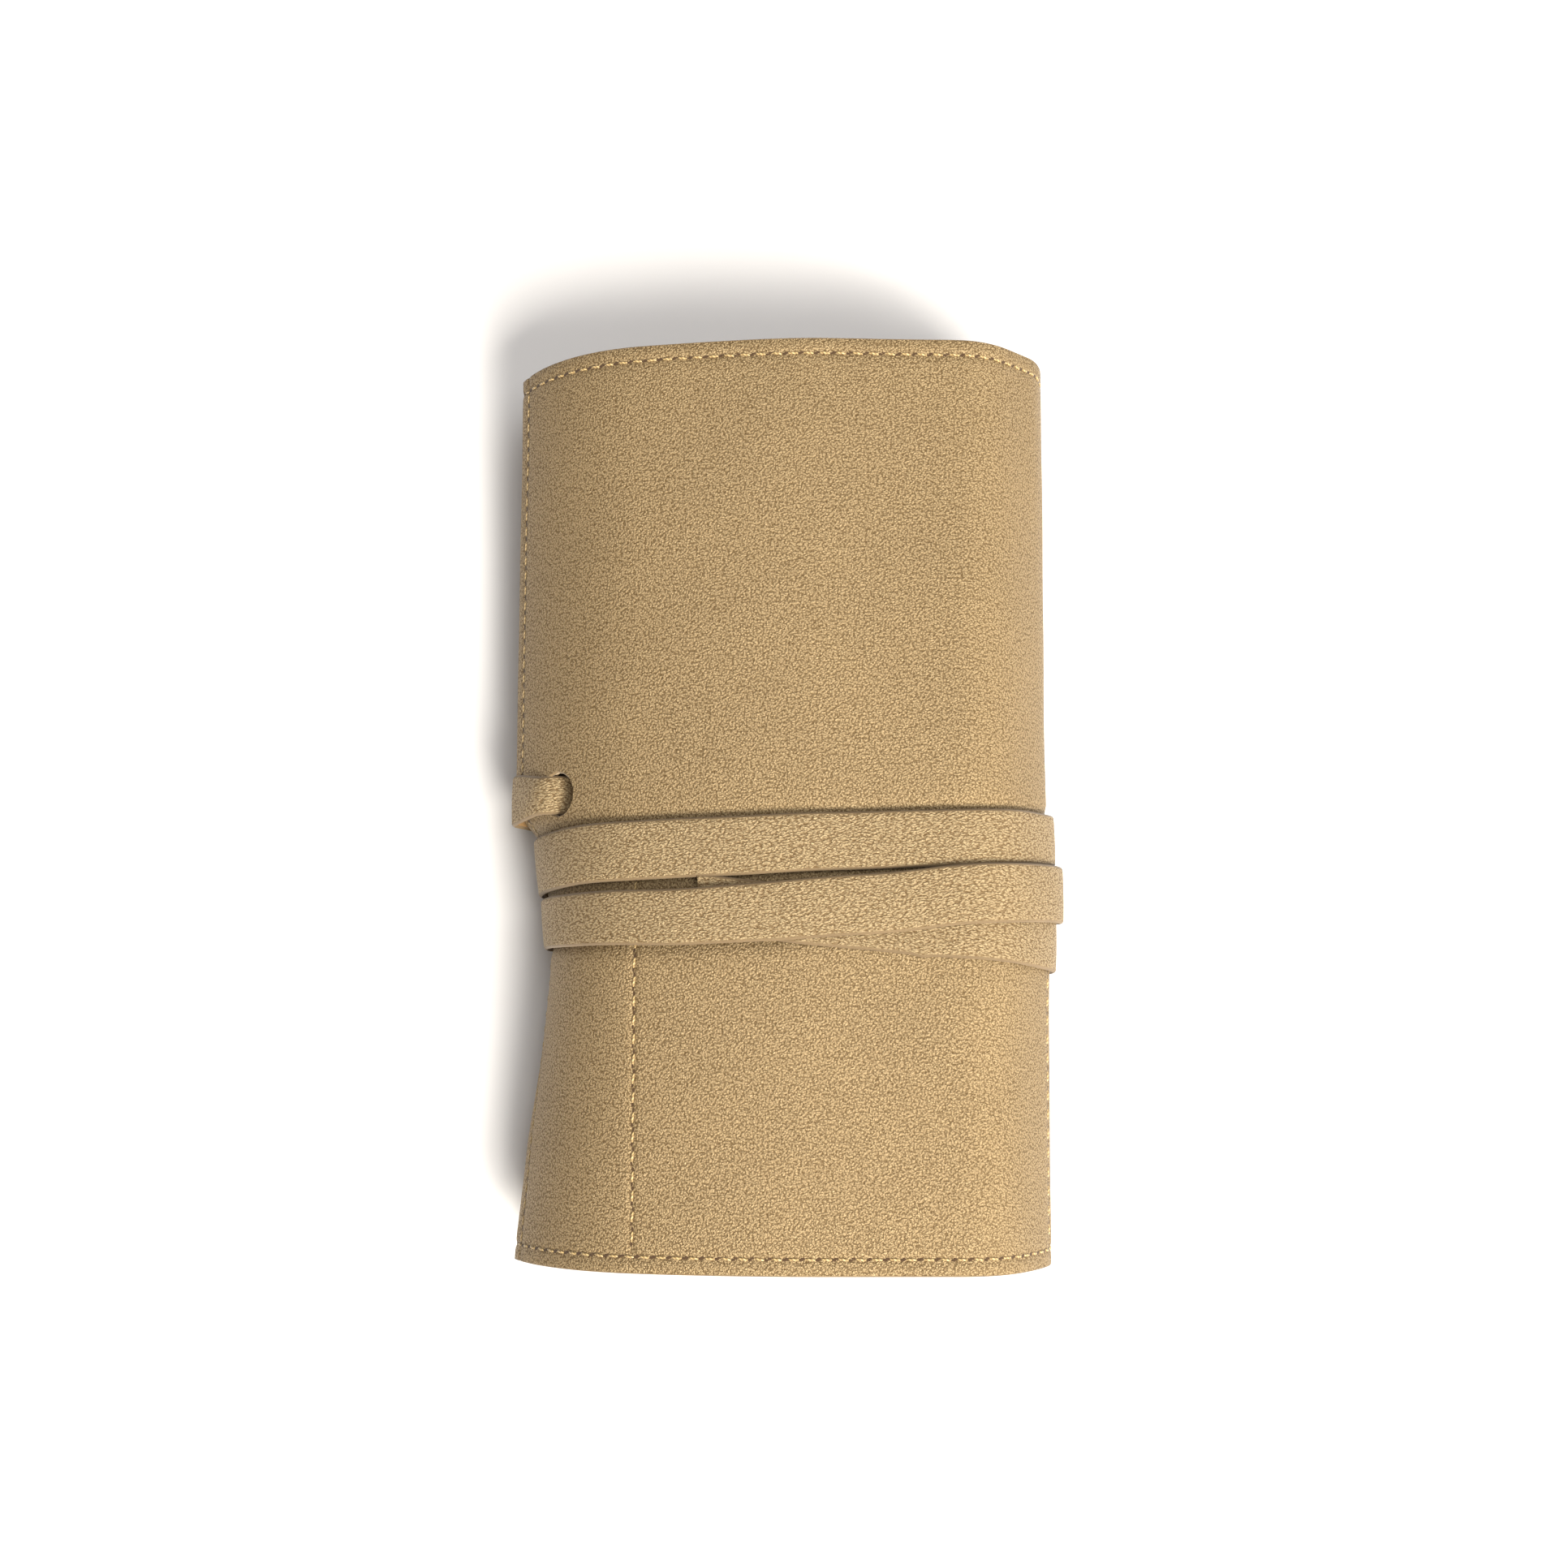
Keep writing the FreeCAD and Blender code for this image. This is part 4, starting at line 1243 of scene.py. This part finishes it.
@dataclass
class TautOutline:
    """The line that a tight strap takes round the roll: the outline's convex hull at each place."""

    outline: CaseOutline
    gap: float = 0.15
    samples: int = 420
    search: int = 800             # points tried round the hull when a place on it is looked for
    places: Array = field(default_factory=lambda: np.arange(-48.0, 15.0, 1.0))
    rows: Array = field(init=False)

    def __post_init__(self) -> None:
        """Work out the line at each place."""
        self.rows = np.stack([self.line(place) for place in self.places])

    def line(self, place: float) -> Array:
        """Evenly spaced X and Z round the hull, from the right-hand side over the top.

        Args:
            place: Place along the axis.

        Returns:
            One row of X and Z for each point.
        """
        marks = self.outline.marks
        girth = np.arange(marks[1], marks[7] + 0.01, 0.5)
        x, z, _ = self.outline.bare(girth, np.full_like(girth, place))
        corners = sorted(zip(x.tolist(), z.tolist()))
        hull: list[tuple[float, float]] = []
        for batch in (corners, corners[::-1]):
            chain: list[tuple[float, float]] = []
            for point in batch:
                while len(chain) > 1 and self.clockwise(chain[-2], chain[-1], point):
                    chain.pop()
                chain.append(point)
            hull += chain[:-1]
        start = max(range(len(hull)), key=lambda n: hull[n][0])
        loop = np.array(hull[start:] + hull[:start + 1])
        steps = run_along(loop)
        at = np.linspace(0.0, steps[-1], self.samples, endpoint=False)
        return np.stack([np.interp(at, steps, loop[:, 0]), np.interp(at, steps, loop[:, 1])], axis=-1)

    @staticmethod
    def clockwise(a: tuple[float, float], b: tuple[float, float], c: tuple[float, float]) -> bool:
        """Whether a, b, c turn clockwise or run straight."""
        return (b[0] - a[0]) * (c[1] - a[1]) - (b[1] - a[1]) * (c[0] - a[0]) <= 1e-9

    def at(self, turn: Array, place: Array) -> Array:
        """Points of the hull.

        Args:
            turn: Share of a turn from the right-hand side over the top; whole turns are dropped.
            place: Places along the axis.

        Returns:
            One row of X and Z for each.
        """
        count = len(self.places)
        across = np.clip(np.interp(place, self.places, np.arange(count)), 0, count - 1.001)
        low = across.astype(int)
        mix = (across - low)[:, None]
        round_it = (turn % 1.0) * self.samples
        base = np.floor(round_it).astype(int) % self.samples
        part = (round_it - np.floor(round_it))[:, None]
        after = (base + 1) % self.samples

        def row(number: Array) -> Array:
            """Points of the stored lines with these numbers."""
            return self.rows[number, base] * (1 - part) + self.rows[number, after] * part

        return row(low) * (1 - mix) + row(low + 1) * mix

    def turn_of(self, x: float, place: float, top: bool = True) -> float:
        """Share of a turn where the hull passes an X, over the top or underneath.

        Args:
            x: The X to find.
            place: Place along the axis.
            top: Look over the top, or else underneath.

        Returns:
            The share, from 0 to 1.
        """
        line = self.at(np.linspace(0, 1, self.search, endpoint=False), np.full(self.search, place))
        left = int(np.argmin(line[:, 0]))
        part = line[:left + 1] if top else line[left:]
        found = int(np.argmin(np.abs(part[:, 0] - x)))
        return (found if top else found + left) / self.search


@dataclass
class Band:
    """A flat strap with softly rounded edges, lofted along a line."""

    name: str
    face: bpy.types.Material
    back: bpy.types.Material
    edge: bpy.types.Material
    thick: float = 1.4
    crown: float = 0.12           # the middle stands this much above the edges
    across: int = 12

    def loft(self, near: Array, far: Array, outward: Array, run: Array, crown: Array) -> bpy.types.Object:
        """Build the strap between two edge lines on its inner face.

        Args:
            near: Points of the -Y edge.
            far: Points of the +Y edge.
            outward: Unit vectors away from the case.
            run: Distance along the strap.
            crown: Extra height of the middle at each station.

        Returns:
            The object.
        """
        soft = 0.34 * self.thick
        shares = np.linspace(0.0, 1.0, self.across + 1)
        profile: list[tuple[float, float, int]] = [(s, 0.0, 1) for s in shares]
        rim = [(0.0, 0.3), (0.18, 0.5), (0.12, 0.78)]
        profile += [(1.0 + inset, level, 2) for inset, level in rim]
        profile += [(s, 1.0, 0) for s in shares[::-1]]
        profile += [(-inset, level, 2) for inset, level in rim[::-1]]
        width = np.linalg.norm(far - near, axis=1)[:, None]
        step = (far - near) / width
        points, flat = [], []
        for share, level, _ in profile:
            inside = min(max(share, 0.0), 1.0)
            extra = (share - inside) * soft / 0.2
            rounded = soft * (0.35 if level in (0.0, 1.0) else 0.0)
            spot = near + step * (rounded + (width - 2 * rounded) * inside + extra)
            arch = (crown + self.crown)[:, None] * (1 - (2 * inside - 1) ** 2)
            points.append(spot + outward * (arch + level * self.thick))
            flat.append(np.stack([run, (inside * width[:, 0]) + extra + 20 * level], axis=-1))
        count = len(profile)
        mesh = np.stack(points, axis=1).reshape(-1, 3)
        faces, kinds = [], []
        for i in range(len(run) - 1):
            for j in range(count):
                k = (j + 1) % count
                faces.append((i * count + j, (i + 1) * count + j, (i + 1) * count + k, i * count + k))
                kinds.append(profile[j][2] if profile[j][2] == profile[k][2] else 2)
        last = (len(run) - 1) * count
        for j in range(self.across):
            partner = 2 * self.across + 4 - j
            faces.append((j, j + 1, partner - 1, partner))
            faces.append((last + partner, last + partner - 1, last + j + 1, last + j))
            kinds += [2, 2]
        mid = [self.across + n for n in range(5)]
        low = [0] + [count - n for n in (1, 2, 3, 4)]
        for base, flip in ((0, False), (last, True)):
            for ring in (mid, low[::-1]):
                face = tuple(base + n for n in ring)
                faces.append(face[::-1] if flip else face)
                kinds.append(2)
        return mesh_piece(self.name, mesh, faces, np.stack(flat, axis=1).reshape(-1, 2),
                          (self.face, self.back, self.edge), kinds, crease=50)


@dataclass
class Strap:
    """The strap: its sewn loop through the hole, and its turns round the case."""

    outline: CaseOutline
    finishes: Wardrobe
    width: float = 12.5
    thick: float = 1.4
    layer: float = 1.75           # one turn lying on another
    ease: float = 0.12            # slack between the strap and the tight line
    tail_x: float = -18.5         # where the loose end is cut
    junction_place: float = 0.6
    station_step: float = 1.1 / 300
    tail_width: float = 12.6
    under_turn: float = 0.8       # share of the first turn where it passes the underside
    under_place: float = -4.6
    # middle of the loose end: X and place
    tail: tuple[tuple[float, float], ...] = (
        (-18.5, -26.2), (-15.8, -26.6), (-1.0, -28.8), (21.6, -30.8), (34.6, -32.1), (65.6, -35.1))
    # width of the first and second turn where they cross the top: X and width
    first_width: tuple[tuple[float, float], ...] = ((-61.0, 13.4), (-20.0, 13.1), (40.0, 12.4), (64.0, 11.6))
    second_width: tuple[tuple[float, float], ...] = ((-58.0, 11.5), (-20.0, 12.2), (10.0, 13.2), (64.0, 12.9))

    def __post_init__(self) -> None:
        """Work out the tight line once."""
        self.taut = TautOutline(self.outline)

    def junction(self) -> float:
        """Share of a turn where the loop ends, half way from the free edge down to the left fold.

        Returns:
            The share, from 0 to 1.
        """
        count = self.taut.search
        line = self.taut.at(np.linspace(0, 1, count, endpoint=False), np.full(count, self.junction_place))
        corner = int(np.argmin(line[:, 0]))
        below = next(n for n in range(corner, count) if line[n, 1] < line[corner, 1] * 0.55)
        return below / count

    def stations(self) -> tuple[Array, Array, Array, Array]:
        """Stations along the whole winding.

        Returns:
            Turn, place, width and lift of each.
        """
        taut = self.taut
        knots: list[tuple[float, float, float]] = [(self.junction(), self.junction_place, 12.0),
                                                   (self.under_turn, self.under_place, 12.4)]
        passes = ((self.outline.first_pass, self.first_width), (self.outline.second_pass, self.second_width))
        for number, (table, widths) in enumerate(passes, start=1):
            for x, place in table[::-1]:
                knots.append((number + taut.turn_of(x, place), place, float(np.interp(x, *zip(*widths)))))
        for x, place in self.tail[::-1]:
            knots.append((3 + taut.turn_of(x, place), place, self.tail_width))
        turns, places, widths = (np.array(column) for column in zip(*knots))
        turn = np.arange(turns[0], turns[-1], self.station_step)
        turn = np.append(turn, turns[-1])
        kernel = np.ones(9) / 9
        place = np.interp(turn, turns, places)
        width = np.interp(turn, turns, widths)
        for _ in range(2):
            place[4:-4] = np.convolve(place, kernel, "valid")
            width[4:-4] = np.convolve(width, kernel, "valid")
        second, crossing = 2.0, -29.0
        drop = second + taut.turn_of(self.tail_x - 3.5, crossing)
        settle = second + taut.turn_of(self.tail_x - 34.0, crossing)
        climbed = smoothstep(second - 0.13, second - 0.05, turn)
        lift = self.layer * climbed * (1 - smoothstep(drop, settle, turn))
        return turn, place, width, lift

    def windings(self) -> bpy.types.Object:
        """Wind the two and a half turns, with the loose end under the second.

        Returns:
            The object.
        """
        turn, place, width, lift = self.stations()
        sway = 0.14 * np.sin(turn * 37.0) + 0.1 * np.sin(turn * 71.0 + 1.1)
        place = place + sway * 0.5
        edges = []
        normals = []
        wanted = self.taut.gap + lift + self.ease
        for side in (-1, 1):
            edge = place + side * width / 2
            if side < 0:
                # a snag stands out of the loose end's near edge
                snag = 3 + self.taut.turn_of(32.0, -38.0)
                edge = edge - 0.45 * np.exp(-(((turn - snag) / 0.006) ** 2))
            line = soften(self.taut.at(turn, edge), 3)
            out = off_line(line, 4)
            edges.append(np.stack([line[:, 0], edge, line[:, 1]], axis=-1) + out * wanted[:, None])
            normals.append(out)
        outward = normals[0] + normals[1]
        outward /= np.linalg.norm(outward, axis=1)[:, None]
        run = run_along((edges[0] + edges[1]) / 2)
        piece = Band("strap_turns", self.finishes.strap_leather, self.finishes.strap_back,
                     self.finishes.cut_edge, self.thick).loft(edges[0], edges[1], outward, run,
                                                              np.zeros_like(run))
        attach(piece, "strap")
        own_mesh(piece)
        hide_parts("strap_windings")
        LOG.info("%s: %.0f mm of strap", piece.name, run[-1])
        return piece

    def beside(self, girth: float, out: float) -> Array:
        """X and Z of a point off the cover's surface beside the strap hole."""
        x, z, angle = self.outline.bare(np.array([girth]), np.array([self.outline.hole_place]))
        return np.array([x[0] + out * math.cos(angle[0]), z[0] + out * math.sin(angle[0])])

    def loop_line(self) -> tuple[Array, Array]:
        """Lead the loop from the sewn tab to the junction.

        Returns:
            X and Z of its inner face, and its width.
        """
        case = self.outline
        hole = case.marks[7] - case.hole_girth
        # round the hole: girth from its middle towards the free edge, and height off the cover
        local = [(-15.0, -4.1), (-12.0, -4.1), (-9.5, -4.15), (-7.4, -4.5), (-5.2, -5.0), (-3.0, -5.2),
                 (-1.2, -4.8), (0.2, -3.9), (1.2, -2.9), (2.1, -1.8), (3.2, -0.8), (4.6, -0.12), (6.0, 0.26)]
        points = [self.beside(hole + a, b) for a, b in local]
        over = np.linspace(hole + 7.6, case.marks[7] - 0.4, 6)
        x, z, angle = case.bare(over, np.full_like(over, case.hole_place))
        points += list(np.stack([x + 0.25 * np.cos(angle), z + 0.25 * np.sin(angle)], axis=-1))
        x, z, angle = case.bare(np.array([case.marks[7]]), np.array([case.hole_place]))
        corner = np.array([x[0], z[0]])
        out = np.array([math.cos(angle[0]), math.sin(angle[0])])
        along = np.array([-out[1], out[0]])
        points += [corner + along * 0.45 + out * 0.1]
        end = self.junction()
        start = self.taut.turn_of(x[0], self.junction_place)
        down = self.taut.at(np.linspace(start + 0.008, end + 0.004, 5), np.full(5, self.junction_place))
        points += list(down + np.array([-0.3, 0.0]))
        knots = np.array(points)
        steps = run_along(knots)
        fine = np.linspace(0, steps[-1], int(steps[-1] / 0.5))
        line = np.stack([np.interp(fine, steps, knots[:, 0]), np.interp(fine, steps, knots[:, 1])], axis=-1)
        soften(line, 6)
        width = np.interp(fine, [0, 11, 14.5, 21, 26, 32, steps[-1]],
                          [11.0, 10.0, 8.6, 8.7, 10.2, 11.7, 12.2])
        return line, width

    def loop(self) -> bpy.types.Object:
        """Make the fixed end: sewn under the cover, up through the hole and over the free edge.

        Returns:
            The object.
        """
        line, width = self.loop_line()
        outward = off_line(line, 2)
        run = run_along(line)
        middle = self.outline.hole_place
        place = np.interp(run, [0, 21, 32, run[-1]], [middle, middle, middle + 0.3, self.junction_place])
        near = np.stack([line[:, 0], place - width / 2, line[:, 1]], axis=-1)
        far = np.stack([line[:, 0], place + width / 2, line[:, 1]], axis=-1)
        gathered = 0.5 * np.exp(-(((run - 22.0) / 6.0) ** 2))
        piece = Band("strap_loop_through_hole", self.finishes.strap_leather, self.finishes.strap_back,
                     self.finishes.cut_edge, self.thick).loft(near, far, outward, run, gathered)
        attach(piece, "cover")
        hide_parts("strap_loop")
        sewing = Stitching(self.outline, self.finishes.thread, self.finishes.needle_hole)
        hole = self.outline.marks[7] - self.outline.hole_girth
        spots = [(hole - back, middle + side * 3.4) for back in (13.5, 10.0, 6.5) for side in (-1, 1)]
        tacks = sewing.sew("strap_tack_thread", spots, True, self.outline.thickness + 2.75, Face.INSIDE)
        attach(tacks, "cover")
        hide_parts("strap_anchor_stitches")
        LOG.info("%s: %.0f mm of strap", piece.name, run[-1])
        return piece


# ---------------------------------------------------------------- studio

@dataclass(frozen=True)
class Studio:
    """A pale floor, a soft window-like key from the lower right, an overhead fill and the camera."""

    camera_place: tuple[float, float, float] = (0.34, -58.2, 443.7)
    camera_tilt: float = 8.58
    lens: float = 39.31
    floor_colour: str = "#D8D8D8"

    def floor(self) -> None:
        """A plain matt floor."""
        side, down = 3000.0, -0.2
        points = np.array([(x * side, y * side, down) for x, y in ((-1, -1), (1, -1), (1, 1), (-1, 1))])
        material, tree = new_material("matt_white_card")
        # Uncoated white card: pressed paper fibres, so it is evenly matt with a very faint mottle.
        place = add_node(tree, "ShaderNodeNewGeometry")
        mottle = add_node(tree, "ShaderNodeTexNoise", {"Scale": 90.0, "Detail": 3.0},
                          {"Vector": place.outputs[0]})
        share = add_node(tree, "ShaderNodeMapRange", {"To Min": 0.985, "To Max": 1.0},
                         {"Value": mottle.outputs[0]})
        colour = add_node(tree, "ShaderNodeVectorMath", {0: linear(self.floor_colour)[:3]},
                          {"Scale": share.outputs[0]}, operation="SCALE")
        shader = add_node(tree, "ShaderNodeBsdfPrincipled", {"Roughness": 0.95},
                          {"Base Color": colour.outputs[0]})
        close_material(tree, shader)
        floor = mesh_piece("studio_floor", points, [(0, 1, 2, 3)], points[:, :2], (material,))

    def light(self, name: str, place: Vector, aim: Vector, size: float, power: float, colour: str) -> None:
        """Hang one square softbox.

        Args:
            name: Lamp name.
            place: Where it hangs, in metres.
            aim: The point it faces, in metres.
            size: Side of the softbox, in metres.
            power: Watts.
            colour: sRGB hex colour.
        """
        lamp = bpy.data.lights.new(name, "AREA")
        lamp.shape = "SQUARE"
        lamp.size = size
        lamp.energy = power
        lamp.color = linear(colour)[:3]
        hung = bpy.data.objects.new(name, lamp)
        hung.location = place
        hung.rotation_euler = (aim - place).to_track_quat("-Z", "Y").to_euler()
        bpy.context.scene.collection.objects.link(hung)

    def build(self) -> None:
        """Set the floor, lights, surround and camera."""
        self.floor()
        aim = Vector((0, 0, 0.03))
        self.light("key_softbox", Vector((0.95, -1.3, 1.55)), aim, 0.95, 124.0, "#FFF9F0")
        self.light("overhead_softbox", Vector((0.4, 0.2, 1.3)), aim, 0.9, 11.0, "#FFFFFF")
        world = bpy.data.worlds.new("studio_surround")
        world.use_nodes = True
        world.node_tree.nodes.clear()
        glow = add_node(world.node_tree, "ShaderNodeBackground",
                        {"Color": linear("#FFF4EB"), "Strength": 0.35})
        add_node(world.node_tree, "ShaderNodeOutputWorld", links={"Surface": glow.outputs[0]})
        bpy.context.scene.world = world
        lens = bpy.data.cameras.new("camera")
        lens.lens = self.lens
        lens.sensor_width = 36.0
        camera = bpy.data.objects.new("camera", lens)
        camera.location = Vector(self.camera_place) * MM
        camera.rotation_euler = (math.radians(self.camera_tilt), 0.0, 0.0)
        bpy.context.scene.collection.objects.link(camera)
        bpy.context.scene.camera = camera
        bpy.context.scene.view_settings.view_transform = "Standard"
        LOG.info("studio ready")


# ---------------------------------------------------------------- main


def main() -> None:
    """Build the case's pieces in order."""
    logging.basicConfig(level=logging.INFO, format="%(name)s: %(message)s")
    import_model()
    outline = CaseOutline.from_frame()
    finishes = Wardrobe.make()
    stretches = case_stretches(outline)
    leather, felt, suede = finishes.leather, finishes.felt, finishes.suede
    SheetCoat(outline, Layer.LEATHER, leather, felt, finishes.cut_edge, 1.2, 1.6).build(stretches)
    SheetCoat(outline, Layer.PADDING, felt, felt, felt, 2.4, 5.0).build(stretches)
    SheetCoat(outline, Layer.LINING, suede, suede, suede, 1.8, 3.0).build(stretches)
    sewing = Stitching(outline, finishes.thread, finishes.needle_hole)
    sewing.hems(stretches)
    sewing.seams(stretches)
    make_pockets(outline, finishes, stretches)
    strap = Strap(outline, finishes)
    strap.windings()
    strap.loop()
    Studio().build()


if __name__ == "__main__":
    main()
